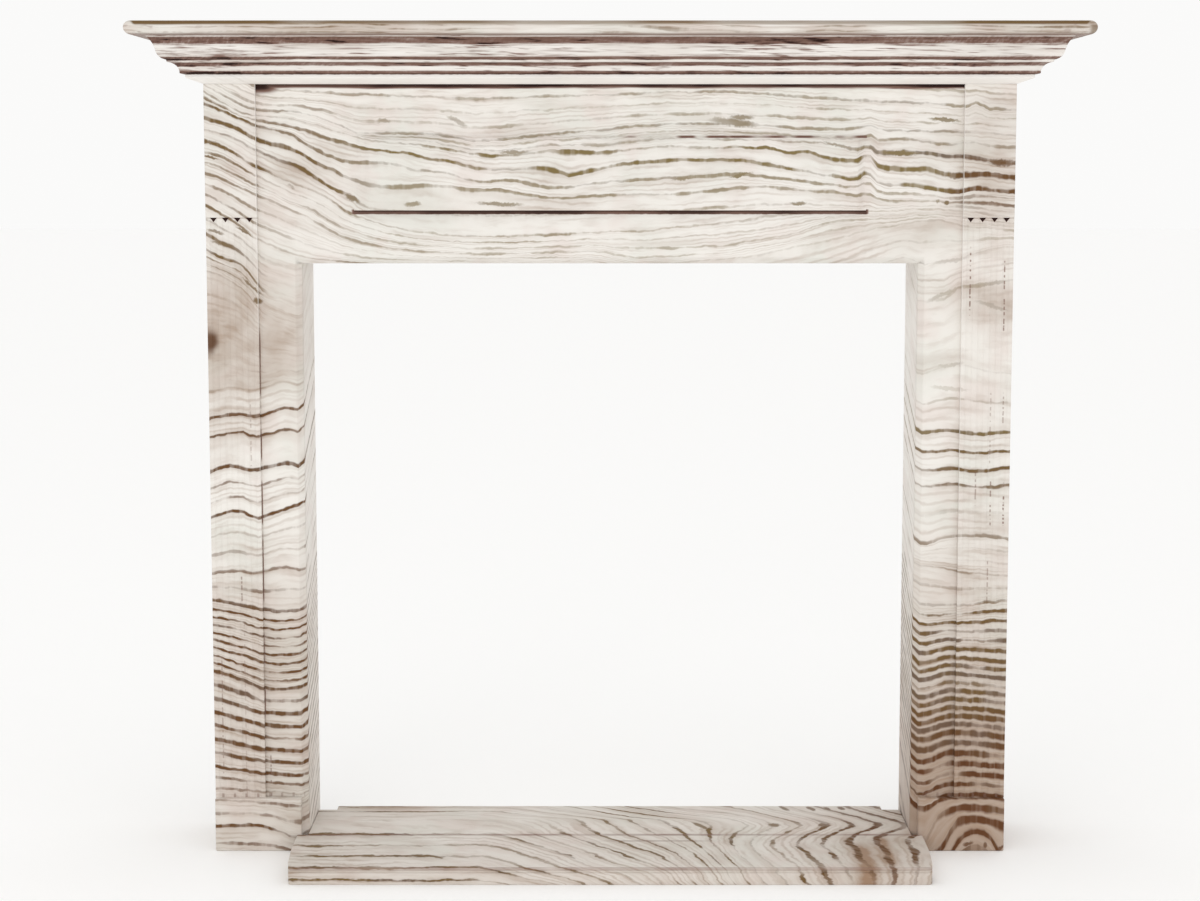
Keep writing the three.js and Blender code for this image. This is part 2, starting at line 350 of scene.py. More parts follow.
      (955, 807), (968, 806), (980, 807), (992, 807.5), (1005, 810), (1030, 812)]),
    ((1, 1), 0, (0.75, 0.75, 0.3, 1, 1), (4.4, 3.6, 14),
     [(190, 841), (222, 841), (260, 841), (275, 843.5), (290, 847), (310, 848), (480, 845),
      (760, 862), (905, 866), (932, 858), (941, 845), (947, 835), (952, 825), (958, 818), (965, 816),
      (980, 817.5), (992, 819), (1004, 822.5), (1030, 830)]),
    ((1, 1), 0, (0.6, 0.6, 0.3, 0.9, 1), (4.4, 3.6, 8),
     [(190, 857), (310, 864), (480, 860), (760, 874), (905, 877), (940, 868), (951, 850),
      (960, 837.5), (967, 831), (975, 829), (982, 830.6), (988, 835), (994, 846), (1004, 858),
      (1030, 862)]),
    ((0, 0), 0, (0.6, 0.6, 0.3, 0.9, 0.9), (4.4, 3.6, 6),
     [(190, 876), (310, 880), (760, 890), (905, 890), (940, 880), (960, 850), (975, 842), (985, 848),
      (1004, 870), (1030, 880)]),
]
grainGuides = []
for rings, dip, strength, width, run in guideRows:
    drawn = [onFront(across, down) for across, down in run]
    grainGuides.append({"rings": rings, "dip": dip, "strength": strength, "width": width, "run": drawn})
guideSpan = {"half": 0.64, "tall": 1.25, "least": 0.005, "widest": 0.74}
strengthStations = ((-0.640, 0), (-0.512, 0), (-0.500, 1), (-0.440, 1), (-0.300, 2), (0.300, 2),
                    (0.440, 3), (0.500, 3), (0.512, 4), (0.640, 4))
widthStations = [(x, 0) for x in (-0.64, -0.58, -0.54, -0.50, -0.45, -0.38)]
widthStations += [(x, 1) for x in (-0.15, 0.10, 0.30)]
widthStations += [(x, 2) for x in (0.38, 0.45, 0.50, 0.54, 0.58, 0.64)]


def heightAt(run, across):  # height of a drawn line, straight between its points
    for (x0, z0), (x1, z1) in zip(run, run[1:]):
        if across <= x1:
            return z0 + (z1 - z0) * max(0.0, (across - x0) / (x1 - x0))
    return run[-1][1]


def ringPitch(spot, across):  # from ring to ring beside a drawn line
    pitches = []
    for first in (spot - 1, spot):
        if 0 <= first < len(grainGuides) - 1:
            over, under = grainGuides[first], grainGuides[first + 1]
            drop = heightAt(over["run"], across) - heightAt(under["run"], across)
            pitches.append(drop / max(1, over["rings"][0 if across < 0 else 1]))
    return max(guideSpan["least"], sum(pitches) / len(pitches))


def followGuides(x, height, rightSide):
    tree = x.tree
    half, tall = guideSpan["half"], guideSpan["tall"]

    def share(place):  # 0 to 1 across the front
        return (place + half) / (2 * half)

    across = share(x)
    traces = []
    for spot, guide in enumerate(grainGuides):
        widths = []
        for place, part in widthStations:
            wide = guide["width"][part] / 1000 / ringPitch(spot, place)
            widths.append((share(place), min(wide, guideSpan["widest"])))
        node = tree.nodes.new("ShaderNodeVectorCurve")
        curves = node.mapping.curves
        drawCurve(curves[0], [(share(along), up / tall) for along, up in guide["run"]], "AUTO_CLAMPED")
        strengths = [(share(place), guide["strength"][part]) for place, part in strengthStations]
        drawCurve(curves[1], strengths, "VECTOR")
        drawCurve(curves[2], widths, "VECTOR")
        node.mapping.update()
        feed(tree, node.inputs["Vector"], joinXyz(tree, across, across, across))
        traces.append(splitXyz(Flow(tree, node.outputs[0])))
    level = height / tall
    count = 0.5
    strength, width = traces[0][1], traces[0][2]
    for guide, above, below in zip(grainGuides, traces, traces[1:]):
        part = rampUp(level, above[0], below[0], "LINEAR")
        left, right = guide["rings"]
        count = count + part * (left if left == right else blend(left, right, rightSide))
        strength = strength + (below[1] - above[1]) * part
        width = width + (below[2] - above[2]) * part
        if guide["dip"]:
            strength = strength - part * (1 - part) * (4 * guide["dip"])
    return count, strength, width


# grey and brown weathering over the front: across, up, half widths, amount

boardShade = [
    (-0.56, 0.83, 0.05, 0.06, 0.46), (-0.53, 0.74, 0.085, 0.06, 0.46), (-0.48, 0.8, 0.04, 0.06, 0.16),
    (-0.56, 0.64, 0.06, 0.04, 0.2), (-0.445, 1.01, 0.055, 0.028, 0.34), (-0.52, 0.3, 0.11, 0.09, 0.36),
    (-0.53, 0.06, 0.12, 0.11, 0.26), (-0.54, 0.18, 0.1, 0.06, 0.2), (0.57, 0.815, 0.055, 0.032, 0.5),
    (0.43, 0.925, 0.1, 0.035, 0.26), (0.56, 0.99, 0.06, 0.06, 0.3), (0.53, 0.3, 0.11, 0.08, 0.24),
    (-0.56, 1.01, 0.04, 0.06, 0.16), (0.47, 1.04, 0.05, 0.02, 0.18), (-0.3, 0.96, 0.2, 0.02, 0.14),
    (-0.52, 0.86, 0.09, 0.08, 0.12), (0.555, 1.05, 0.05, 0.1, 0.27), (0.535, 0.035, 0.09, 0.06, 0.34),
    (0.52, 0.15, 0.1, 0.08, 0.24), (0.56, 0.66, 0.04, 0.2, 0.1), (-0.48, 0.76, 0.04, 0.05, 0.22),
    (-0.56, 0.705, 0.06, 0.02, 0.16), (0.5, 0.84, 0.08, 0.026, 0.14), (0.54, 0.425, 0.08, 0.09, 0.16),
]
quietSpots = [  # where the lines fade: across, up, half widths, share taken off
    (-0.56, 0.752, 0.05, 0.07, 0.85), (-0.478, 0.8, 0.036, 0.085, 0.8), (0.52, 0.764, 0.085, 0.04, 0.95),
]
boardDashes = [  # bold short strokes in the picture: across, down, half length and height, fall, amount
    (733, 122, 25, 4.2, 0.1, 0.85), (742, 117, 13, 2.8, 0, 0.8), (683, 178, 12, 1.8, -0.14, 0.8),
    (741, 175, 12, 1.9, -0.17, 0.9), (798, 203, 9, 2.2, 0, 0.8), (500, 204, 24, 2.2, 0.04, 0.75),
    (413, 204, 9, 2.6, 0, 0.85), (352, 199, 9, 3.4, 0.5, 0.85), (384, 121, 8, 2.4, 0.1, 0.6),
    (457, 121, 11, 2.8, 0.45, 0.55), (900, 153, 24, 2.9, 0.03, 0.95), (1001, 162.5, 15, 4, 0.06, 0.95),
    (945, 119.8, 17, 2.2, 0.08, 0.9), (840, 146, 18, 1.9, 0.25, 0.8), (956, 175.5, 12, 3.2, 0.03, 0.95),
    (515, 152, 16, 2.2, -0.02, 0.7), (938, 202, 2.4, 2, 0, 0.7), (947, 202.3, 3.2, 2.4, 0, 0.9),
    (991, 203, 8, 2, 0.04, 0.7), (210, 142.4, 9, 2, 0.02, 0.95), (226, 148.5, 7, 1.8, 0.5, 0.9),
    (211, 157.5, 8, 1.9, 0.22, 0.95), (258, 301, 5, 3.2, 0.1, 0.9), (245, 232.5, 9, 1.8, 0.62, 0.85),
    (252, 286, 11, 1.8, 0.9, 0.8), (222, 244, 11, 1.8, 0.25, 0.8), (216, 232, 9, 1.8, 0.25, 0.75),
    (291, 187, 4, 1.6, 0.4, 0.4), (967, 841, 6, 2.2, -0.35, 0.85), (999, 846, 5, 2, -0.6, 0.85),
    (984, 843, 2.2, 4.5, 0.2, 0.8), (951, 260.5, 19, 2.4, -0.18, 0.32), (943, 295, 17, 2.4, -0.41, 0.36),
    (985, 284, 26, 2.4, -0.14, 0.42), (991, 306, 18, 2.2, 0.28, 0.36), (950, 365, 14, 2.2, -0.2, 0.32),
    (950, 388.5, 20, 2.4, 0.06, 0.26),
]
boardRun = {
    "depthLean": 0.42, "face": 0.020,  # lines rise towards the wall behind the face, inside the opening
    "knotShade": (-0.587, 0.764, 0.034, 0.046, 0.40), "knotEye": (-0.587, 0.764, 0.0125, 0.0220, 1.0),
    "picturePlace": 0.00148,  # size of one picture place on the front
    "coarse": 0.0052, "fine": 0.0024, "frayed": 0.0050,  # wander of the lines and of the strokes
    "middle": (-0.04, 0.04), "lowRight": (0.12, 0.36), "lowLeft": (0.66, 0.74), "midRight": (0.58, 0.66),
    "leftTop": (-0.46, -0.30), "feet": (0.36, 0.50),  # where the browns of the front fade out
}


def softSpot(x, z, row):
    across, up, wide, tall, amount = row
    return hump(x, across, wide) * hump(z, up, tall) * amount


def makeBoardField():
    tree, given, end = newGroup("boardField", [("Place", "vector")], fieldOutputs)
    run = boardRun
    x, y, z = splitXyz(given["Place"])
    rightSide = rampUp(x, *run["middle"])
    height = z - upper(y - run["face"], 0.0) * run["depthLean"]
    height = height + (cloud(x * 34, y * 30, z * 40, 1.0) - 0.5) * run["coarse"]
    height = height + (cloud(x * 130, y * 120, z * 160, 0.0) - 0.5) * run["fine"]
    count, strength, width = followGuides(x, height, rightSide)
    for row in quietSpots:
        strength = strength * (1 - softSpot(x, z, row))

    mottle = cloud(x * 16, y * 16, z * 22, 2.0)
    whorl = cloud(x * 40 + mottle * 1.6, y * 40, z * 46 + mottle * 1.6, 2.0)
    shade = sum(softSpot(x, z, row) for row in boardShade) * (0.10 + mottle * 1.0 + whorl * 0.8)
    shade = shade + softSpot(x, z, run["knotShade"])
    frayed = height + (cloud(x * 240, y * 90, z * 240, 1.0) - 0.5) * run["frayed"]
    strokes = []
    for across, down, long, tall, fall, amount in boardDashes:
        strokeX, strokeZ = onFront(across, down)
        u = (x - strokeX) / (long * run["picturePlace"])
        v = (frayed - strokeZ) / (tall * run["picturePlace"]) + u * (fall * long / tall)
        strokes.append((1 - rampUp(u * u + v * v, 0.20, 1.25)) * amount)
    onFace = 1 - rampUp(y, run["face"] + 0.002, run["face"] + 0.006)
    mark = strongest(strokes) * (0.78 + rampUp(mottle, 0.34, 0.54) * 0.22) * onFace
    lowRight = rightSide * (1 - rampUp(z, *run["lowRight"]))
    lowLeft = (1 - rightSide) * (1 - rampUp(z, *run["lowLeft"])) * 0.85
    midRight = rightSide * (1 - rampUp(z, *run["midRight"])) * 0.55
    capBrown = band(x, 0.52, 0.60, 0.05) * band(z, 0.95, 1.03, 0.03) * 0.8
    leftTop = (1 - rampUp(x, *run["leftTop"])) * 0.45
    brown = strongest([lowRight, lowLeft, midRight, capBrown, leftTop])
    warmFeet = 1 - rampUp(z, *run["feet"])
    eye = rampUp(softSpot(x, z, run["knotEye"]) + (whorl - 0.5) * 0.5, 0.16, 0.92)
    knotUp = run["knotEye"][1]
    eye = eye * (0.94 - rampUp(z, knotUp + 0.004, knotUp + 0.020) * 0.40)
    closeGroup(tree, end, Count=count, Along=x + y, Width=width, Strength=strength, Brown=brown,
               Shade=shade, Tan=lowRight * 0.60 + warmFeet * 0.13, Eye=eye, Mark=mark)
    return tree


# the hearth: nearly level lines on the left, slanting ones and arrowheads to the right

hearthRun = {"ringsPerMetre": 25.0, "slantStart": -0.19, "foldFrom": 0.05, "foldTo": 0.23, "foldAt": 0.10,
             "turnRow": 0.575, "turnAt": 0.266, "turnRate": 0.87,
             "deep": 0.35, "thick": 0.025, "topShare": 0.8}
hearthRows = [  # row, rings passed so far in tens
    (0.0, 0.02), (0.016, 0.05), (0.075, 0.15), (0.144, 0.25), (0.19, 0.35), (0.391, 0.45), (0.526, 0.55),
    (0.663, 0.65), (0.8, 0.75), (0.94, 0.85), (1.0, 0.9),
]
hearthFold = [  # row, metres to the right
    (0.0, 0.0), (0.06, 0.016), (0.12, 0.04), (0.18, 0.068), (0.23, 0.086), (0.27, 0.09), (0.31, 0.083),
    (0.37, 0.066), (0.44, 0.055), (0.51, 0.05), (0.575, 0.049), (0.66, 0.054), (0.76, 0.064), (0.88, 0.077),
    (1.0, 0.09),
]
hearthStrokes = [  # bold short strokes on the inner hearth: across, depth, half widths, lean
    (0.137, 0.057, 0.0065, 0.024, 0.5), (0.272, 0.16, 0.006, 0.016, 0.35),
    (0.314, 0.157, 0.006, 0.015, 0.35), (0.339, 0.157, 0.005, 0.013, 0.3), (0.361, 0.16, 0.006, 0.012, 0.2),
    (0.25, 0.06, 0.01, 0.012, 0.0), (0.325, 0.06, 0.01, 0.012, 0.0), (0.367, 0.056, 0.006, 0.01, 0.0),
]


def makeHearthField():
    tree, given, end = newGroup("hearthField", [("Place", "vector")], fieldOutputs)
    run = hearthRun
    x, y, z = splitXyz(given["Place"])
    deep, thick, topShare = run["deep"], run["thick"], run["topShare"]
    # row runs from 0 at the back of the top to 1 at the foot of the front
    row = (deep / 2 - y) / deep * topShare + (thick - z) / thick * (1 - topShare)
    wander = (cloud(x * 9, row * 5, 2.2, 2.0) - 0.5) * 0.06
    past = x - run["slantStart"] + (cloud(x * 4, row * 3, 7.1, 1.0) - 0.5) * 0.05
    past = upper(past, 0.0)
    slant = past * past / (past + 0.08)
    folded = rampUp(x, run["foldFrom"], run["foldTo"])
    plain = curveOf(row + wander, hearthRows) * (10 / run["ringsPerMetre"])
    turned = curveOf(row + wander * 0.3, hearthFold) + run["foldAt"]
    turned = turned - upper(row - run["turnRow"], 0.0) * (x - run["turnAt"]) * run["turnRate"]
    reach = blend(plain, turned, folded)
    rough = (cloud(x * 60, row * 22, 5.5, 2.0) - 0.5) * 0.34
    count = (reach - slant + 1.0) * run["ringsPerMetre"] + rough
    rightHalf = rampUp(x, 0.20, 0.40)
    valley = hump(x, 0.368, 0.016) * rampUp(row, 0.42, 0.62)
    valley = valley + hump(x, 0.404, 0.010) * band(row, 0.46, 0.72, 0.08) * 0.8
    valley = valley * (0.55 + cloud(x * 70, row * 26, 1.5, 2.0) * 0.9)
    backLeft = hump(x, -0.34, 0.07) * (1 - rampUp(row, 0.02, 0.10))
    bare = (1 - rampUp(x, -0.14, 0.04)) * rampUp(row, 0.09, 0.15) * (1 - rampUp(row, 0.34, 0.375))
    weak = cloud(x * 6, row * 5, 9.3, 1.0)
    slabFront = rampUp(row, topShare, topShare + 0.03)
    frayed = (cloud(x * 160, y * 60, 3.1, 1.0) - 0.5) * 1.2
    strokes = []
    for across, depth, wide, long, lean in hearthStrokes:
        v = (y - depth) / long
        u = (x - across + (y - depth) * lean) / wide
        strokes.append(1 - rampUp(u * u + v * v + frayed, 0.30, 1.20))
    strength = (0.50 + rampUp(weak, 0.35, 0.60) * 0.44) * (1 - bare * 0.75)
    shade = 0.08 + weak * 0.26 + slabFront * 0.12
    tan = valley * 0.95 + rightHalf * 0.16 + backLeft * 0.6 + 0.05
    closeGroup(tree, end, Count=count, Along=x + y, Width=0.16 + rightHalf * 0.09, Strength=strength,
               Brown=0.40 + rightHalf * 0.5, Shade=shade, Tan=tan, Eye=0.0, Mark=strongest(strokes) * 0.8)
    return tree


# shelf, strips and crown: the rings run along the length

railRun = {"spacing": 0.0072}


def makeRailField():
    tree, given, end = newGroup("railField", [("Place", "vector")], fieldOutputs)
    x, y, z = splitXyz(given["Place"])
    low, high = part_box("mantel_shelf")
    drop = high[2] - z
    top = 1 - rampUp(drop, 0.0003, 0.0012)  # the shelf's upper face has finer, paler lines
    along = x + y * 0.6
    slow = (cloud(along * 3.2, z * 20, y * 6 + 1.3, 2.0) - 0.5) * 0.034
    count = (z + y * (0.22 + top * 0.46) + slow) / railRun["spacing"]
    count = count + (cloud(along * 30, z * 60, y * 20, 1.0) - 0.5) * 0.7
    weight = cloud(along * 5.0, z * 20, 6.6 + y * 3, 2.0)
    nosing = 1 - rampUp(y, low[1] + 0.008, low[1] + 0.013)
    ragged = drop + (weight - 0.5) * 0.006
    arris = rampUp(drop, 0.0002, 0.0010) * (1 - rampUp(ragged, 0.0040, 0.0080)) * nosing
    atMitre = 1 - rampUp(size(x) + drop * 0.9, 0.674, 0.680)
    ends = (1 - rampUp(x, -0.52, -0.44)) * 0.50 + rampUp(x, 0.36, 0.60) * 0.42
    tip = rampUp(x, 0.672, 0.680) * rampUp(drop, 0.004, 0.008) * 0.7
    mark = arris * atMitre * (0.60 + ends + rampUp(weight, 0.46, 0.66) * 0.30)
    closeGroup(tree, end, Count=count, Along=along, Width=(0.26 + weight * 0.30) * (1 - top * 0.40),
               Strength=rampUp(weight, 0.34, 0.62) * 0.62 * (1 - top * 0.35) + top * 0.18, Brown=0.50,
               Shade=(0.06 + rampUp(weight, 0.42, 0.70) * 0.52) * (1 - top * 0.62), Tan=weight * 0.10,
               Eye=0.0, Mark=upper(mark, tip))
    return tree


# dark latewood lines along the rings, broken up along their run

def makeGrainLines():
    tree, given, end = newGroup(
        "grainLines", numbers("Count", "Along", "Width", "Strength", "Mark"),
        numbers("Line", "Halo", "Tone", "Faint"))
    count, along, strength = given["Count"], given["Along"], given["Strength"]
    ring = calc(tree, "FLOOR", count)
    part = count - ring
    chance = lot(ring + 0.5)
    second = lot(ring + 77.5)
    swell = cloud(along * 17, ring * 3.7, 0.4, 1.0)
    dash = cloud(along * 95, ring * 5.3, 9.1, 2.0)
    bold = rampUp(swell + (chance - 0.5) * 0.16 + (strength - 0.7) * 0.40, 0.38, 0.58)  # dark stretches
    width = given["Width"] * (0.60 + bold * 0.52) * (0.70 + dash * 0.60)
    across = part - 0.47 - second * 0.06
    core = 1 - rampUp(size(across) / width, 0.28, 0.68)
    broken = blend(rampUp(dash, 0.36, 0.54), 1.0, bold * 0.62)
    force = lower(strength * (0.44 + bold * 0.72), 1.0) * (0.36 + broken * 0.64)
    below = rampUp(across, -0.02, 0.04) * (1 - rampUp(across, 0.04, 0.46))
    above = rampUp(across, -0.30, -0.02) * (1 - rampUp(across, -0.02, 0.03)) * 0.5
    thin = count * 3.0 + (cloud(along * 9, count * 0.8, 3.3, 1.0) - 0.5) * 1.4
    thin = size(thin - calc(tree, "FLOOR", thin) - 0.5)
    faint = (1 - rampUp(thin, 0.04, 0.28)) * rampUp(cloud(along * 7, count * 1.3, 7.7, 1.0), 0.42, 0.64)
    faint = faint * rampUp(strength, 0.04, 0.36)
    closeGroup(tree, end, Line=upper(core * force, given["Mark"]), Halo=(below + above) * force, Faint=faint,
               Tone=upper(rampUp(swell + (second - 0.5) * 0.2, 0.34, 0.54), given["Mark"]))
    return tree


# lime rubbed into open grain: cream, a little pink and grey-green, with the rings showing

limeColours = {
    "cream": (0.800, 0.770, 0.725, 1), "green": (0.740, 0.728, 0.675, 1), "pink": (0.750, 0.684, 0.640, 1),
    "shade": (0.410, 0.321, 0.257, 1), "tan": (0.330, 0.215, 0.142, 1), "grey": (0.180, 0.140, 0.105, 1),
    "olive": (0.205, 0.150, 0.062, 1), "brown": (0.118, 0.047, 0.019, 1), "eye": (0.105, 0.046, 0.020, 1),
}


def makeLimeWash():
    masks = numbers("Count", "Along", "Line", "Halo", "Tone", "Faint", "Brown", "Shade", "Tan", "Eye")
    tree, given, end = newGroup(
        "limeWash", [("Place", "vector")] + masks, [("Color", "colour"), ("Roughness", "value")])
    tint = limeColours
    x, y, z = splitXyz(given["Place"])
    base = mixColour(tree, tint["cream"], tint["green"], rampUp(cloud(x * 8, y * 8, z * 10, 2.0), 0.42, 0.70))
    pinkish = rampUp(cloud(x * 17 + 4, y * 17, z * 20, 2.0), 0.46, 0.72)
    base = mixColour(tree, base, tint["pink"], pinkish * 0.8)
    fibre = cloud(given["Along"] * 26, given["Count"] * 3.4, 2.2, 3.0)
    streak = cloud(given["Along"] * 7, given["Count"] * 1.3, 5.2, 2.0)
    weather = rampUp(fibre, 0.46, 0.80) * 0.26 + rampUp(streak, 0.48, 0.74) * 0.26 + given["Faint"] * 0.30
    weather = weather + given["Shade"] + given["Halo"] * 0.30
    base = mixColour(tree, base, tint["shade"], weather)
    base = mixColour(tree, base, tint["tan"], given["Tan"] * (0.7 + fibre * 0.6))
    dark = mixColour(tree, tint["grey"], tint["olive"], given["Tone"])
    dark = mixColour(tree, dark, tint["brown"], given["Brown"] * (0.62 + given["Tone"] * 0.38))
    final = mixColour(tree, base, dark, given["Line"])
    final = mixColour(tree, final, tint["eye"], given["Eye"])
    closeGroup(tree, end, Color=final, Roughness=0.50 + given["Line"] * 0.22 + fibre * 0.10)
    return tree


# fine open grain for the surface relief

def makeOpenGrain():
    tree, given, end = newGroup("openGrain", [("Place", "vector")], [("Height", "value")])
    x, y, z = splitXyz(given["Place"])
    closeGroup(tree, end, Height=cloud(x * 26, y * 90, z * 320, 2.0))
    return tree


# painted shade and shadow in quirks, hollows and under overhangs, together with real dark stain and joint
# lines, all in one dark maroon

shadeAndStainColours = {"deep": (0.018, 0.004, 0.002, 1), "thin": (0.205, 0.118, 0.092, 1)}


def makeCreviceShadeAndStain():
    colour = [("Color", "colour")]
    tree, given, end = newGroup("creviceShadeAndStain", colour + numbers("Amount"), colour)
    amount = given["Amount"]
    washed = mixColour(tree, given["Color"], shadeAndStainColours["thin"], rampUp(amount, 0.03, 0.62))
    closeGroup(tree, end, Color=mixColour(tree, washed, shadeAndStainColours["deep"], rampUp(amount, 0.50, 1.05)))
    return tree


grainLines = makeGrainLines()
limeWash = makeLimeWash()
creviceShadeAndStain = makeCreviceShadeAndStain()
openGrain = makeOpenGrain()
boardField = makeBoardField()
hearthField = makeHearthField()
railField = makeRailField()
print("grain groups built")


# pale lime, mixed in both for lime left on the wood and as painted light
paleLimeAndLight = (0.930, 0.905, 0.870, 1)
surface = {"bump": 0.30, "bumpDistance": 0.0006, "specular": 0.14}


def limedMaterial(name, field, shadeAndStainAmount=None, lineShare=1.0, paleLimeAndLightShare=None):
    material = bpy.data.materials.new(name)
    material.use_nodes = True
    tree = material.node_tree
    shader = tree.nodes["Principled BSDF"]
    coordinates = tree.nodes.new("ShaderNodeTexCoord")
    place = Flow(tree, coordinates.outputs["Object"])
    run = placeGroup(tree, field, Place=place)
    if lineShare < 1:
        run["Strength"] = run["Strength"] * lineShare
    lines = placeGroup(tree, grainLines, **{
        label: run[label] for label in ("Count", "Along", "Width", "Strength", "Mark")})
    carried = {label: run[label] for label in ("Count", "Along", "Brown", "Shade", "Tan", "Eye")}
    wash = placeGroup(tree, limeWash, Place=place, **carried, **lines)
    colour = wash["Color"]
    if paleLimeAndLightShare:
        # paler: more lime left on some pieces, and painted light on the bed strip and on the inner sides of
        # capitals and shafts
        colour = mixColour(tree, colour, paleLimeAndLight, paleLimeAndLightShare(*splitXyz(place)))
    # darkened by painted shade and shadow, and by real dark stain and joint lines, where each piece calls for
    # it
    if shadeAndStainAmount:
        colour = placeGroup(tree, creviceShadeAndStain, Color=colour, Amount=shadeAndStainAmount(*splitXyz(place)))["Color"]
    feed(tree, shader.inputs["Base Color"], colour)
    feed(tree, shader.inputs["Roughness"], wash["Roughness"])
    bump = tree.nodes.new("ShaderNodeBump")
    bump.inputs["Strength"].default_value = surface["bump"]
    bump.inputs["Distance"].default_value = surface["bumpDistance"]
    feed(tree, bump.inputs["Height"], placeGroup(tree, openGrain, Place=place)["Height"])
    tree.links.new(bump.outputs["Normal"], shader.inputs["Normal"])
    shader.inputs["Specular IOR Level"].default_value = surface["specular"]
    return material


# where painted shade, painted shadow and dark stain lie on each kind of piece, read from the piece's own
# coordinates

def roughEdge(x, y, z):
    return cloud(x * 90, y * 90, z * 60, 2.0) - 0.5


def onFrontSide(y, node):  # 1 on the front of a board, 0 behind it
    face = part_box(node)[0][1]
    return 1 - rampUp(y, face + 0.002, face + 0.006)


friezeShadow = {"edge": (0.0024, 0.0085), "shadowWedge": (0.0040, 0.0190), "shadowWedgeEnd": (-0.505, -0.470),
               "tabletShadowLine": (0.0030, 0.002), "ragged": 0.0020}


# painted shadow on the frieze: a dark band under the bed strip, a wedge of it at the left end, and a line
# under the tablet
def friezeCrevice(x, y, z):
    mark = friezeShadow
    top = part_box("bed_strip_front")[0][2]
    below = top - z + (cloud(x * 13, y * 9, z * 170, 3.0) - 0.5) * 0.0060
    under = 1 - rampUp(below, *mark["edge"])
    under = under * (0.82 + rampUp(cloud(x * 7, 0.4, 1.7, 2.0), 0.35, 0.62) * 0.32)
    shadowWedge = (1 - rampUp(below, *mark["shadowWedge"])) * (1 - rampUp(x, *mark["shadowWedgeEnd"]))
    low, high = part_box("frieze_tablet")
    lineBelow, lineAbove = mark["tabletShadowLine"]
    ragged = z + roughEdge(x, y, z) * mark["ragged"]
    # painted shadow cast by the tablet on the frieze below it
    tabletShadow = band(ragged, low[2] - lineBelow, low[2] + lineAbove, 0.002)
    tabletShadow = tabletShadow * band(x, low[0], high[0], 0.006)
    tabletShadow = tabletShadow * (0.62 + rampUp(cloud(x * 9, 2.4, 0.7, 2.0), 0.35, 0.65) * 0.28)
    return strongest([under, shadowWedge, tabletShadow]) * onFrontSide(y, "frieze_board")


tabletDarkLines = {"topLine": (0.0070, 0.0045), "topFrom": (-0.10, 0.10), "topLineAmount": 0.62,
               "foot": (0.0006, 0.0022)}


# a thin dark line along the upper margin from the middle rightwards, and painted shadow along the foot
def tabletCrevice(x, y, z):
    mark = tabletDarkLines
    low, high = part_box("frieze_tablet")
    farther, nearer = mark["topLine"]
    top = band(z, high[2] - farther, high[2] - nearer, 0.0012)
    top = top * rampUp(x, *mark["topFrom"]) * mark["topLineAmount"]
    # painted shadow along the foot of the tablet
    foot = 1 - rampUp(z - low[2], *mark["foot"])
    return upper(top * rampUp(cloud(x * 30, 0.3, 1.9, 1.0), 0.35, 0.6), foot)


fluteRow = {"pitch": 0.0174, "width": 0.0108, "depth": 0.0020, "shadowHalf": 0.0056, "shadowTall": 0.0074}


def fluteOff(x):  # distance from the middle of the nearest flute
    low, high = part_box("pilaster_shaft_right")
    spot = (size(x) - (low[0] + high[0]) / 2) / fluteRow["pitch"] + 0.5
    return size(spot - calc(spot.tree, "ROUND", spot)) * fluteRow["pitch"]


fluteDots = {  # dotted dark lines along the flutes, in the picture: across, from, down to, amount
    "shaft": [(970, 248, 314, 0.60), (1004, 262, 330, 0.55), (1003, 394, 424, 0.42), (1003, 484, 524, 0.60),
              (990, 394, 462, 0.36), (990, 482, 524, 0.50), (975, 473, 504, 0.42), (987, 562, 600, 0.42),
              (251, 402, 466, 0.34), (242, 575, 601, 0.46), (246, 625, 800, 0.30), (223, 655, 772, 0.40)],
    "stile": [(271, 757, 797, 0.46)],
}


def dottedFlutes(x, z, kind):
    dots = rampUp(cloud(x * 50, 0.2, z * 230, 0.0), 0.36, 0.56)
    wobble = (cloud(x * 20, 0.7, z * 60, 1.0) - 0.5) * 0.0012
    columns = []
    for across, start, stop, amount in fluteDots[kind]:
        (middle, top), (foot, bottom) = onFront(across, start), onFront(across, stop)
        off = size(x + wobble - (middle + foot) / 2)
        columns.append((1 - rampUp(off, 0.0006, 0.0017)) * band(z, bottom, top, 0.004) * amount)
    return strongest(columns) * dots * 0.8


stileDarkLines = {"span": (0.22, 0.76), "lineOut": 0.0012, "lineIn": 0.002, "right": 0.04, "left": 0.60,
              "ticks": 0.30}


def stileCrevice(x, y, z):
    mark = stileDarkLines
    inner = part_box("pilaster_shaft_right")[0][0]
    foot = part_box("plinth_block_right")[1][2]
    broken = rampUp(cloud(z * 22, 0.3, 0.8, 2.0), 0.34, 0.56) * band(z, *mark["span"], 0.04)
    leftSide = 1 - rampUp(x, -0.05, 0.05)
    # painted shadow cast by the pilaster's inner edge on the stile, strong on the left and faint on the right
    shadowLine = band(size(x), inner - mark["lineOut"], inner + mark["lineIn"], 0.0008)
    ticks = (1 - rampUp(fluteOff(x), 0.0012, 0.0026)) * band(z, foot, foot + 0.005, 0.002) * mark["ticks"]
    shadowLine = shadowLine * broken * blend(mark["right"], mark["left"], leftSide)
    return strongest([shadowLine, ticks, dottedFlutes(x, z, "stile")]) * onFrontSide(y, "front_stile_left")


# painted light: these sides are made paler against the shade they lie in, on the left from about 0.77 m up
# and on the right from about 0.54 m up
def paintedLightInnerSide(x, y, z):  # the sides of capitals and shafts towards the opening
    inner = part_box("pilaster_shaft_right")[0][0]
    rightSide = rampUp(x, -0.05, 0.05)
    lift = blend(rampUp(z, 0.74, 0.80) * 0.50, rampUp(z, 0.42, 0.66) * 0.50, rightSide)
    return (1 - rampUp(size(x), inner + 0.0002, inner + 0.0008)) * lift


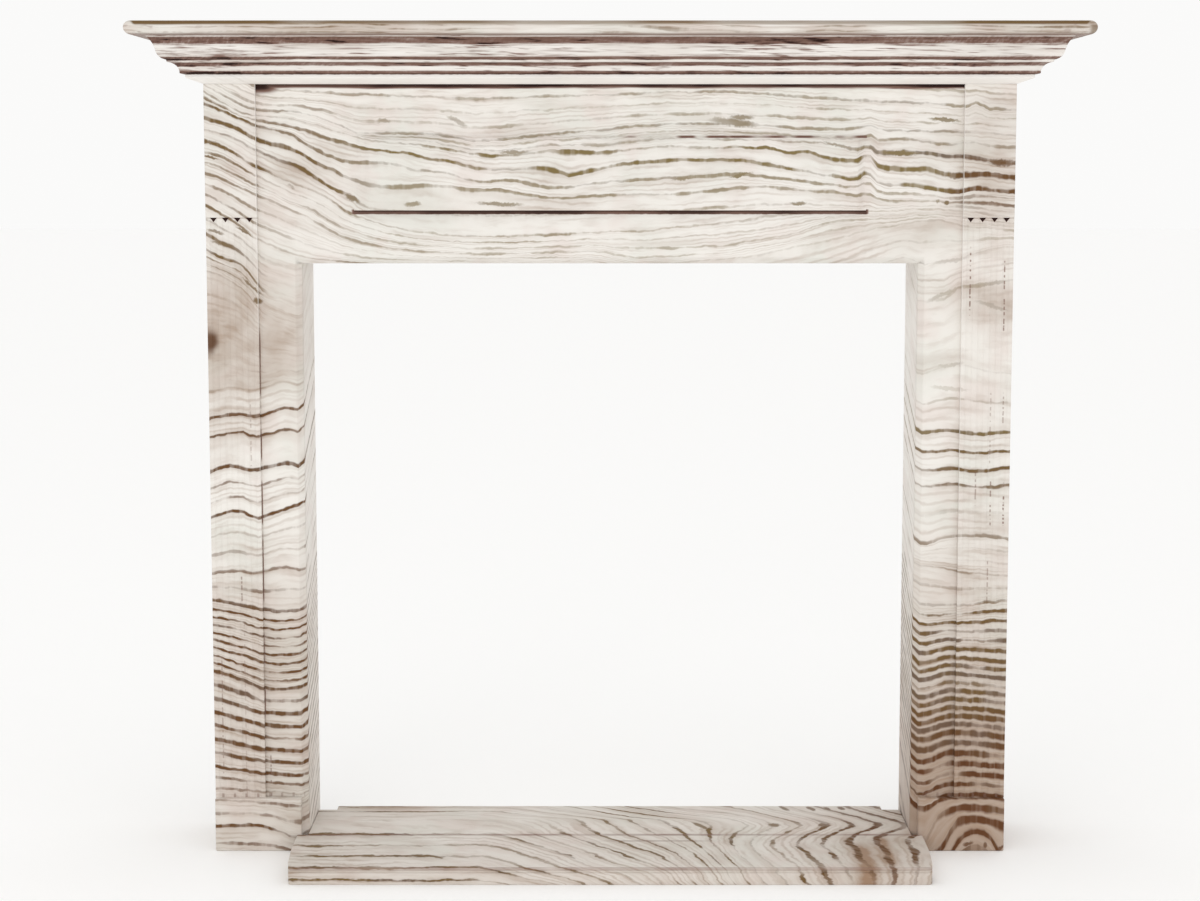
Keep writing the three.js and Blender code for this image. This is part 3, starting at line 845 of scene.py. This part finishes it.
def shaftCrevice(x, y, z):
    low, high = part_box("pilaster_shaft_right")
    drop = high[2] - z
    off = fluteOff(x)
    mark = fluteRow
    # painted shadow of the capital: a pointed patch in the top of each flute and a thin line across the top
    # of the shaft
    top = rampUp((1 - off / mark["shadowHalf"]) * mark["shadowTall"] - drop, 0.0, 0.0016)
    shadowLine = 1 - rampUp(drop, 0.0012, 0.0028)
    ticks = (1 - rampUp(off, 0.0012, 0.0026)) * (1 - rampUp(z, low[2] + 0.004, low[2] + 0.009)) * 0.34
    return strongest([top * 1.1, shadowLine * 0.22, ticks, dottedFlutes(x, z, "shaft")])


crownShadeAndGlaze = [  # share of the height from the crown's foot up to the shelf, and the amount of painted shade in the hollows and under the bends, partly a dark glaze
    (0.0, 0.7), (0.05, 0.62), (0.085, 0.16), (0.12, 0.02), (0.18, 0.06), (0.215, 0.52), (0.285, 0.68),
    (0.305, 0.08), (0.35, 0.06), (0.368, 0.64), (0.425, 0.62), (0.455, 0.16), (0.52, 0.03), (0.7, 0.03),
    (0.765, 0.16), (0.8, 0.58), (0.9, 0.66), (0.955, 0.6), (0.97, 0.22), (1.0, 0.34),
]


def crownCrevice(x, y, z):
    low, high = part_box("crown_front")
    share = (z - low[2]) / (high[2] - low[2])
    along = x + y * 0.7
    feather = cloud(along * 30 + z * 120, z * 300, 0.3, 3.0) - 0.5
    slow = cloud(along * 7, z * 26, 8.3, 2.0) - 0.5
    # painted shade in the crown's hollows and under its bends, partly a dark glaze
    shadeAndGlaze = curveOf(share + feather * 0.040 + slow * 0.050, crownShadeAndGlaze)
    speck = (cloud(along * 230, z * 200, 4.4, 2.0) - 0.5) * (0.30 + rampUp(size(x), 0.30, 0.60) * 0.50)
    patchy = 0.98 + slow * 0.5 + feather * 0.8 + speck
    ends = rampUp(x, 0.40, 0.62) * 0.26 + (1 - rampUp(x, -0.60, -0.42)) * 0.12
    streaks = rampUp(cloud(along * 16 + z * 60, z * 430, 2.7, 3.0), 0.44, 0.74)
    streaks = streaks * band(share, 0.48, 0.76, 0.05) * (0.36 + ends)
    return lower(shadeAndGlaze * patchy, 0.86) + rampUp(feather + slow * 0.5, 0.05, 0.24) * 0.30 + streaks


shelfDarkMarks = {"foot": (0.0005, 0.003), "footShadeAmount": 0.42, "upperFace": (0.0003, 0.0012),
              "corner": (0.45, 0.67)}


def shelfCrevice(x, y, z):
    mark = shelfDarkMarks
    low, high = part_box("mantel_shelf")
    # painted shade along the underside of the rounded nosing; the streaks and end patches are the wood's own
    # marks
    foot = (1 - rampUp(z - low[2], *mark["foot"])) * mark["footShadeAmount"]
    streak = rampUp(cloud(x * 9 + z * 90, y * 9, z * 230, 2.0), 0.52, 0.74) * 0.26
    streak = streak * rampUp(high[2] - z, *mark["upperFace"])
    corner = rampUp(size(x), *mark["corner"]) * rampUp(cloud(x * 60, y * 60, z * 120, 1.0), 0.50, 0.66) * 0.26
    return strongest([foot, streak, corner])


# painted shadow along the top of the strip, under the crown's foot
def bedCrevice(x, y, z):
    low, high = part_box("bed_strip_front")
    ragged = roughEdge(x, y, z) * 0.002
    return rampUp(z + ragged, high[2] - 0.0020, high[2] - 0.0002) * 0.8


hearthDarkLines = {"joint": (0.003, 0.0090), "jointAmount": 0.48, "arrisAmount": 0.46,
               "secondLine": (0.037, 0.032), "secondAmount": 0.40, "secondFrom": (-0.06, 0.02),
               "secondTo": (0.11, 0.19)}


# dark lines at the joint behind the slab, a little in front of it, and along the slab's front arris
def hearthCrevice(x, y, z):
    mark = hearthDarkLines
    low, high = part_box("hearth_slab")
    joint = 1 - rampUp(size(y - high[1]), *mark["joint"])
    arris = band(y, low[1] - 0.001, low[1] + 0.003, 0.002) * rampUp(z, high[2] - 0.0055, high[2] - 0.003)
    patchy = 0.65 + (cloud(x * 22, y * 30, 0.5, 2.0) - 0.5) * 0.8
    farther, nearer = mark["secondLine"]
    second = band(y, high[1] - farther, high[1] - nearer, 0.003)
    second = second * rampUp(x, *mark["secondFrom"]) * (1 - rampUp(x, *mark["secondTo"]))
    lines = [joint * mark["jointAmount"], second * mark["secondAmount"], arris * mark["arrisAmount"]]
    return strongest(lines) * patchy


def patchyLift(least, spread, *scale):  # paler in patches: more lime left on the linings and crown, and painted light on the bed strip
    def lift(x, y, z):
        return least + cloud(x * scale[0], y * scale[1], z * scale[2], 2.0) * spread
    return lift


materials = {
    "board": limedMaterial("limedBoard", boardField),
    "lining": limedMaterial("limedLining", boardField, paleLimeAndLightShare=patchyLift(0.16, 0.30, 9, 9, 12)),
    "frieze": limedMaterial("limedFrieze", boardField, friezeCrevice),
    "tablet": limedMaterial("limedTablet", boardField, tabletCrevice),
    "stile": limedMaterial("limedStile", boardField, stileCrevice),
    "capital": limedMaterial("limedCapital", boardField, paleLimeAndLightShare=paintedLightInnerSide),
    "shaft": limedMaterial("limedShaft", boardField, shaftCrevice, paleLimeAndLightShare=paintedLightInnerSide),
    "shelf": limedMaterial("limedShelf", railField, shelfCrevice),
    # the bed strip is made paler as painted light, against the shade under the crown's foot
    "bed": limedMaterial("limedBedStrip", boardField, bedCrevice, 0.5, patchyLift(0.30, 0.80, 9, 9, 60)),
    "crown": limedMaterial("glazedAndShadedCrown", railField, crownCrevice, 0.25, patchyLift(0.16, 0.66, 8, 8, 90)),
    "hearth": limedMaterial("limedHearth", hearthField, hearthCrevice),
}
print("materials built:", len(materials))


# pieces

making = {"weld": 1e-6, "flat": 1, "arris": 25, "easeSteps": 3}  # m, degrees, degrees, steps of a rounding


def linkPiece(node, mesh, finish, sharpAngle=40):
    mesh.materials.clear()
    mesh.materials.append(materials[finish])
    mesh.polygons.foreach_set("use_smooth", [True] * len(mesh.polygons))
    mesh.set_sharp_from_angle(angle=math.radians(sharpAngle))
    piece = bpy.data.objects.new("limed_" + node, mesh)
    scene.collection.objects.link(piece)
    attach(piece, "root")
    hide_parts(node)
    return piece


def mergedCopy(node):  # a node's shape with its loose triangles joined into faces
    shape = bmesh.new()
    shape.from_mesh(nodes[node].data)
    bmesh.ops.remove_doubles(shape, verts=shape.verts, dist=making["weld"])
    flat = math.radians(making["flat"])
    bmesh.ops.dissolve_limit(shape, angle_limit=flat, verts=shape.verts, edges=shape.edges)
    return shape


def easeEdges(shape, ease, segments, wanted):
    arris = math.radians(making["arris"])
    edges = [edge for edge in shape.edges
             if len(edge.link_faces) == 2 and edge.calc_face_angle() > arris and wanted(edge)]
    bmesh.ops.bevel(shape, geom=edges, offset=ease, offset_type="OFFSET", segments=segments,
                    profile=0.5, affect="EDGES", clamp_overlap=True)


def skinRings(shape, rings):  # closes a stack of rings into a solid
    for under, over in zip(rings, rings[1:]):
        for spot in range(len(under)):
            after = (spot + 1) % len(under)
            shape.faces.new((under[spot], under[after], over[after], over[spot]))
    shape.faces.new(rings[0])
    shape.faces.new(rings[-1])


def meshFrom(shape, name):
    mesh = bpy.data.meshes.new(name)
    bmesh.ops.recalc_face_normals(shape, faces=shape.faces)
    shape.to_mesh(mesh)
    shape.free()
    return mesh


boards = {  # node, * for left and right: finish, slot, rounding of the arrises in m
    "capital_block_*": ("capital", "limed_wood", 0.0008),
    "plinth_block_*": ("board", "limed_wood", 0.0020),
    "side_board_*": ("board", "limed_wood", 0.0010),
    "jamb_lining_*": ("lining", "limed_wood", 0.0004),
    "soffit_board": ("lining", "limed_wood", 0.0004),
    "hearth_inner": ("hearth", "limed_hearth", 0.0014),
}
for pattern, (finish, slot, ease) in boards.items():
    for side in ("left", "right") if "*" in pattern else ("",):
        node = pattern.replace("*", side)
        shape = mergedCopy(node)
        easeEdges(shape, ease, making["easeSteps"], lambda edge: True)
        linkPiece(node, meshFrom(shape, node), finish)

splayed = {"front_stile_left": "stile", "front_stile_right": "stile", "frieze_board": "frieze"}
splayEase = {"round": 0.0012, "reach": 0.0095, "least": 25, "most": 60, "sharp": 30}  # m and degrees
for node, finish in splayed.items():
    shape = mergedCopy(node)
    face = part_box(node)[0][1]
    easeEdges(shape, splayEase["round"], making["easeSteps"], lambda edge:
              sum(vert.co.y for vert in edge.verts) / 2 < face + splayEase["reach"]
              and splayEase["least"] < math.degrees(edge.calc_face_angle()) < splayEase["most"])
    linkPiece(node, meshFrom(shape, node), finish, splayEase["sharp"])
print("boards built")


# the tablet: a raised panel whose margins rise in an easy curve, widest on the left and sharp below

tabletShape = {"left": 0.026, "right": 0.016, "top": 0.012, "bottom": 0.0018, "rings": 10, "sharp": 50}
low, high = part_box("frieze_tablet")
shape = bmesh.new()
rings = []
for ring in range(tabletShape["rings"] + 1):
    part = ring / tabletShape["rings"]
    rise = part * part * (3 - 2 * part)
    x0, x1 = low[0] + tabletShape["left"] * part, high[0] - tabletShape["right"] * part
    z0, z1 = low[2] + tabletShape["bottom"] * part, high[2] - tabletShape["top"] * part
    y = high[1] + (low[1] - high[1]) * rise
    rings.append([shape.verts.new((x, y, z)) for x, z in ((x0, z0), (x1, z0), (x1, z1), (x0, z1))])
skinRings(shape, rings)
linkPiece("frieze_tablet", meshFrom(shape, "frieze_tablet"), "tablet", tabletShape["sharp"])


# the shelf: a board rounded over on its front and both ends

shelfShape = {"nosing": 0.00995, "segments": 9, "sharp": 50}
shape = bmesh.new()
low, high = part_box("mantel_shelf")
bmesh.ops.create_cube(shape, size=1.0)
for vert in shape.verts:
    vert.co = [high[axis] if vert.co[axis] > 0 else low[axis] for axis in range(3)]
nosed = []
for edge in shape.edges:
    a, b = (vert.co for vert in edge.verts)
    level = abs(a.z - b.z) < making["weld"]
    atBack = min(a.y, b.y) > high[1] - making["weld"]
    if level and not atBack:
        nosed.append(edge)
bmesh.ops.bevel(shape, geom=nosed, offset=shelfShape["nosing"], offset_type="OFFSET",
                segments=shelfShape["segments"], profile=0.5, affect="EDGES", clamp_overlap=True)
linkPiece("mantel_shelf", meshFrom(shape, "mantel_shelf"), "shelf", shelfShape["sharp"])


# geometry node trees, with their sizes as named inputs

def newShapeTree(name, inputs):
    whole = [("Geometry", "geometry")]
    return newTree("GeometryNodeTree", name, whole + inputs, whole)


def shapeNode(tree, kind, settings=None, **values):
    node = tree.nodes.new(kind)
    for label, value in (settings or {}).items():
        setattr(node, label, value)
    for label, value in values.items():
        feed(tree, node.inputs[label.replace("_", " ")], value)
    return node


def firstOf(tree, node, label=None):
    return Flow(tree, node.outputs[label] if label else node.outputs[0])


def vectorCalc(tree, operation, *values, scale=None):
    node = tree.nodes.new("ShaderNodeVectorMath")
    node.operation = operation
    for socket, value in zip(node.inputs, values):
        feed(tree, socket, value)
    if scale is not None:
        feed(tree, node.inputs["Scale"], scale)
    return Flow(tree, node.outputs[0])


def finishTree(tree, end, geometry, material):
    real = shapeNode(tree, "GeometryNodeRealizeInstances", Geometry=geometry)
    dressed = shapeNode(tree, "GeometryNodeSetMaterial", Geometry=firstOf(tree, real), Material=material)
    tree.links.new(dressed.outputs[0], end.inputs[0])


def runTree(tree, name, values):  # the finished tree as a plain mesh
    carrier = bpy.data.objects.new(name, bpy.data.meshes.new(name))
    scene.collection.objects.link(carrier)
    modifier = carrier.modifiers.new("shape", "NODES")
    modifier.node_group = tree
    for item in tree.interface.items_tree:
        if item.item_type == "SOCKET" and item.in_out == "INPUT" and item.name in values:
            modifier[item.identifier] = values[item.name]
    bpy.context.view_layer.update()
    seen = carrier.evaluated_get(bpy.context.evaluated_depsgraph_get())
    mesh = bpy.data.meshes.new_from_object(seen)
    carrier.modifiers.remove(modifier)
    bpy.data.objects.remove(carrier)
    shape = bmesh.new()
    shape.from_mesh(mesh)
    bmesh.ops.remove_doubles(shape, verts=shape.verts, dist=making["weld"])
    return shape


# crown: one section carried along each run, its ends cut to the mitre

def makeCrownTree():
    tree, given, end = newShapeTree("crownRun", [
        ("Section", "object"), ("Section Points", "whole"), ("Stations", "whole"),
        *numbers("Start", "End", "Start Mitre", "End Mitre"),
        ("Along", "vector"), ("Outward", "vector"), ("Base", "vector"), ("Material", "material")])
    points = given["Section Points"]
    section = shapeNode(tree, "GeometryNodeObjectInfo", Object=given["Section"])
    index = firstOf(tree, tree.nodes.new("GeometryNodeInputIndex"))

    def placed(geometry, spot, share):  # puts spot of the section at share of the run
        sample = shapeNode(tree, "GeometryNodeSampleIndex", {"data_type": "FLOAT_VECTOR", "domain": "POINT"})
        tree.links.new(section.outputs["Geometry"], sample.inputs["Geometry"])
        feed(tree, sample.inputs["Value"], firstOf(tree, tree.nodes.new("GeometryNodeInputPosition")))
        feed(tree, sample.inputs["Index"], spot)
        out, up, _ = splitXyz(firstOf(tree, sample))
        near = given["Start"] + out * given["Start Mitre"]
        far = given["End"] + out * given["End Mitre"]
        spread = vectorCalc(tree, "SCALE", given["Along"], scale=near + (far - near) * share)
        standing = vectorCalc(tree, "SCALE", given["Outward"], scale=out)
        place = vectorCalc(tree, "ADD", spread, vectorCalc(tree, "ADD", standing, given["Base"]))
        place = vectorCalc(tree, "ADD", place, joinXyz(tree, 0.0, 0.0, up))
        moved = shapeNode(tree, "GeometryNodeSetPosition", Geometry=geometry, Position=place)
        return firstOf(tree, moved)

    grid = shapeNode(tree, "GeometryNodeMeshGrid", Vertices_X=given["Stations"], Vertices_Y=points + 1.0)
    station = calc(tree, "FLOOR", (index + 0.5) / (points + 1.0))
    spot = index - station * (points + 1.0)
    spot = calc(tree, "MODULO", spot + 0.25, points)
    skin = placed(firstOf(tree, grid, "Mesh"), spot, station / (given["Stations"] - 1.0))
    caps = []
    for share in (0.0, 1.0):
        cap = shapeNode(tree, "GeometryNodeMeshCircle", {"fill_type": "NGON"}, Vertices=points)
        caps.append(placed(firstOf(tree, cap), index, share))
    joined = tree.nodes.new("GeometryNodeJoinGeometry")
    for part in [skin] + caps:
        tree.links.new(part.socket, joined.inputs[0])
    welded = shapeNode(tree, "GeometryNodeMergeByDistance", Geometry=firstOf(tree, joined),
                       Distance=making["weld"])
    finishTree(tree, end, firstOf(tree, welded), given["Material"])
    return tree


crownShape = {  # section in mm: how far it stands out, height above the floor; three points make a bend
    "section": [((-10, 1151), (28.4, 1151)), ((29, 1151.6), (29, 1154)),
                ((29, 1154), (31, 1165), (44.4, 1167)), ((45, 1167.6), (45, 1169.4)),
                ((45.6, 1170), (56.5, 1172), (58.5, 1184)), ((58.5, 1184), (61.5, 1196), (71, 1203)),
                ((-10, 1203),)],
    "steps": 14, "stations": 60, "mitreGap": 0.00015, "closest": 0.05, "sharp": 32,
}


def crownSection():
    points = []
    for stroke in crownShape["section"]:
        if len(stroke) < 3:
            points += stroke
            continue
        (x0, y0), (x1, y1), (x2, y2) = stroke
        for step in range(crownShape["steps"] + 1):
            t = step / crownShape["steps"]
            a, b, c = (1 - t) ** 2, 2 * t * (1 - t), t * t
            points.append((a * x0 + b * x1 + c * x2, a * y0 + b * y1 + c * y2))
    kept = [points[0]]
    for point in points[1:]:
        if math.dist(point, kept[-1]) > crownShape["closest"]:
            kept.append(point)
    return [(x / 1000, y / 1000) for x, y in kept]


bedShape = {  # section of the strip under the crown in mm, its arrises eased
    "points": [(-10, 1137), (-0.6, 1137), (0.6, 1137.3), (21.2, 1144.7), (22, 1145.6), (22, 1150.4),
               (21.4, 1151), (-10, 1151)],
    "stations": 40,
}
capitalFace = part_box("capital_block_right")[0][1]
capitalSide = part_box("capital_block_right")[1][0]
gap = crownShape["mitreGap"]
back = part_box("crown_return_right")[1][1]
mitredRuns = {
    "front": {"Start": -capitalSide + gap, "End": capitalSide - gap, "Start Mitre": -1.0, "End Mitre": 1.0,
              "Along": (1.0, 0.0, 0.0), "Outward": (0.0, -1.0, 0.0), "Base": (0.0, capitalFace, 0.0)},
}
for side, sign in (("left", -1.0), ("right", 1.0)):
    mitredRuns[side] = {"Start": capitalFace + gap, "End": back, "Start Mitre": -1.0, "End Mitre": 0.0,
                        "Along": (0.0, 1.0, 0.0), "Outward": (sign, 0.0, 0.0),
                        "Base": (sign * capitalSide, 0.0, 0.0)}
crownTree = makeCrownTree()


def carryRound(section, names, stations, finish):  # one section along the front and both sides
    sectionMesh = bpy.data.meshes.new(finish + "Section")
    sectionMesh.from_pydata([(x, z, 0) for x, z in section], [], [])
    sectionObject = bpy.data.objects.new(finish + "Section", sectionMesh)
    for side, node in names.items():
        values = dict(mitredRuns[side])
        values.update({"Section": sectionObject, "Section Points": len(section), "Stations": stations,
                       "Material": materials[finish]})
        shape = runTree(crownTree, node, values)
        linkPiece(node, meshFrom(shape, node), finish, crownShape["sharp"])
    bpy.data.objects.remove(sectionObject)


crownNodes = {"front": "crown_front", "left": "crown_return_left", "right": "crown_return_right"}
bedNodes = {"front": "bed_strip_front", "left": "bed_strip_left", "right": "bed_strip_right"}
carryRound(crownSection(), crownNodes, crownShape["stations"], "crown")
bedSection = [(x / 1000, z / 1000) for x, z in bedShape["points"]]
carryRound(bedSection, bedNodes, bedShape["stations"], "bed")
print("crown and bed strips built")


# pilaster shafts: a row of round flutes cut into a board

shaftMaking = {"cutterSides": 96, "overrun": 1.1, "round": 0.0008, "easeSteps": 2, "upright": 0.1,
               "sharp": 35}


def makeShaftTree():
    tree, given, end = newShapeTree("flutedShaft", [
        ("Low", "vector"), ("High", "vector"), ("Flutes", "whole"),
        *numbers("Pitch", "Flute Width", "Flute Depth"), ("Material", "material")])
    extent = vectorCalc(tree, "SUBTRACT", given["High"], given["Low"])
    middle = vectorCalc(tree, "SCALE", vectorCalc(tree, "ADD", given["High"], given["Low"]), scale=0.5)
    board = shapeNode(tree, "GeometryNodeMeshCube", Size=extent)
    board = shapeNode(tree, "GeometryNodeTransform", Geometry=firstOf(tree, board), Translation=middle)
    midX, _, midZ = splitXyz(middle)
    lowX, lowY, lowZ = splitXyz(given["Low"])
    tall = splitXyz(extent)[2]
    halfWide = given["Flute Width"] * 0.5
    deep = given["Flute Depth"]
    radius = (halfWide * halfWide + deep * deep) / (deep * 2.0)
    cutter = shapeNode(tree, "GeometryNodeMeshCylinder", Vertices=shaftMaking["cutterSides"], Radius=radius,
                       Depth=tall * shaftMaking["overrun"])
    firstX = midX - (given["Flutes"] - 1.0) * given["Pitch"] * 0.5
    row = shapeNode(tree, "GeometryNodeMeshLine", Count=given["Flutes"],
                    Start_Location=joinXyz(tree, firstX, lowY + deep - radius, midZ),
                    Offset=joinXyz(tree, given["Pitch"], 0.0, 0.0))
    flutes = shapeNode(tree, "GeometryNodeInstanceOnPoints", Points=firstOf(tree, row),
                       Instance=firstOf(tree, cutter, "Mesh"))
    flutes = shapeNode(tree, "GeometryNodeRealizeInstances", Geometry=firstOf(tree, flutes))
    cut = tree.nodes.new("GeometryNodeMeshBoolean")
    cut.operation = "DIFFERENCE"
    tree.links.new(board.outputs[0], cut.inputs["Mesh 1"])
    tree.links.new(flutes.outputs[0], cut.inputs["Mesh 2"])
    finishTree(tree, end, firstOf(tree, cut, "Mesh"), given["Material"])
    return tree


shaftShape = {"Flutes": 4, "Pitch": fluteRow["pitch"], "Flute Width": fluteRow["width"],
              "Flute Depth": fluteRow["depth"]}
shaftTree = makeShaftTree()
for side in ("left", "right"):
    node = "pilaster_shaft_" + side
    low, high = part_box(node)
    shape = runTree(shaftTree, node, {**shaftShape, "Low": tuple(low), "High": tuple(high),
                                      "Material": materials["shaft"]})
    easeEdges(shape, shaftMaking["round"], shaftMaking["easeSteps"], lambda edge:
              abs(edge.verts[0].co.z - edge.verts[1].co.z) > shaftMaking["upright"])
    linkPiece(node, meshFrom(shape, node), "shaft", shaftMaking["sharp"])
print("fluted shafts built")


# hearth slab: its ends drawn in towards the front, an eased top and a quirk below it

slabShape = {  # in mm: one side from the back to the front, and levels drawn in from that outline
    "side": [(468, 4), (467, -80), (463.5, -140), (460.3, -165), (459.3, -171), (457.6, -173.8), (455, -175)],
    "levels": [(1.0, 0.0), (0.0, 1.0), (0.0, 16.8), (1.0, 17.4), (2.4, 18.2), (2.4, 20.4), (1.0, 21.2),
               (0.1, 22.2), (0.2, 23.4), (0.8, 24.5), (1.8, 25.0)],
    "turnFrom": -165, "turnOver": 10,  # the last points turn from the side to the front
    "sharp": 35,
}


def slabRing(inset):
    (backX, backY), *between, (frontX, frontY) = slabShape["side"]
    right = [(backX - inset, backY - inset * 0.5)]
    for x, y in between:
        turn = max(0.0, (slabShape["turnFrom"] - y) / slabShape["turnOver"])
        right.append((x - inset * (1 - turn), y + inset * turn))
    right.append((frontX - inset * 0.2, frontY + inset))
    left = [(-x, y) for x, y in right]
    return [(x / 1000, y / 1000) for x, y in left + right[::-1]]


shape = bmesh.new()
low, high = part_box("hearth_slab")
rings = []
for inset, level in slabShape["levels"]:
    rings.append([shape.verts.new((x, y, low[2] + level / 1000)) for x, y in slabRing(inset)])
skinRings(shape, rings)
linkPiece("hearth_slab", meshFrom(shape, "hearth_slab"), "hearth", slabShape["sharp"])
print("hearth built")


# floor, light and camera

def plainMaterial(name, colour, rough):
    material = bpy.data.materials.new(name)
    material.use_nodes = True
    shader = material.node_tree.nodes["Principled BSDF"]
    shader.inputs["Base Color"].default_value = colour
    shader.inputs["Roughness"].default_value = rough
    return material


stage = {"floorHalf": 40.0, "floorColour": (0.995, 0.994, 0.990, 1), "worldColour": (1.0, 0.997, 0.990, 1),
         "worldStrength": 0.96, "floorRoughness": 0.9}
floorMesh = bpy.data.meshes.new("floor")
half = stage["floorHalf"]
corners = [(-half, -half, 0), (half, -half, 0), (half, half, 0), (-half, half, 0)]
floorMesh.from_pydata(corners, [], [(0, 1, 2, 3)])
floorMesh.materials.append(plainMaterial("paleFloor", stage["floorColour"], stage["floorRoughness"]))
floor = bpy.data.objects.new("floor", floorMesh)
scene.collection.objects.link(floor)

world = bpy.data.worlds.new("studio")
scene.world = world
world.use_nodes = True
world.node_tree.nodes["Background"].inputs["Color"].default_value = stage["worldColour"]
world.node_tree.nodes["Background"].inputs["Strength"].default_value = stage["worldStrength"]

lamps = {  # name: place, aim, width, power
    "key": ((-0.9, -4.6, 1.7), (0.0, 0.0, 0.70), 3.0, 30),
    "fill": ((1.5, -4.8, 0.9), (0.0, 0.0, 0.55), 3.0, 18),
}
for name, (place, aim, width, power) in lamps.items():
    data = bpy.data.lights.new(name, "AREA")
    data.size = width
    data.energy = power
    lamp = bpy.data.objects.new(name, data)
    lamp.location = place
    lamp.rotation_euler = (Vector(aim) - Vector(place)).to_track_quat("-Z", "Y").to_euler()
    scene.collection.objects.link(lamp)

cameraData = bpy.data.cameras.new("camera")
cameraData.lens = view["lens"]
cameraData.sensor_width = view["sensor"]
cameraData.sensor_fit = "HORIZONTAL"
camera = bpy.data.objects.new("camera", cameraData)
camera.location = view["place"]
camera.rotation_euler = (math.radians(90 - view["pitchDown"]), 0, 0)
scene.collection.objects.link(camera)
scene.camera = camera
scene.view_settings.view_transform = "Standard"

print("camera, light and floor set")
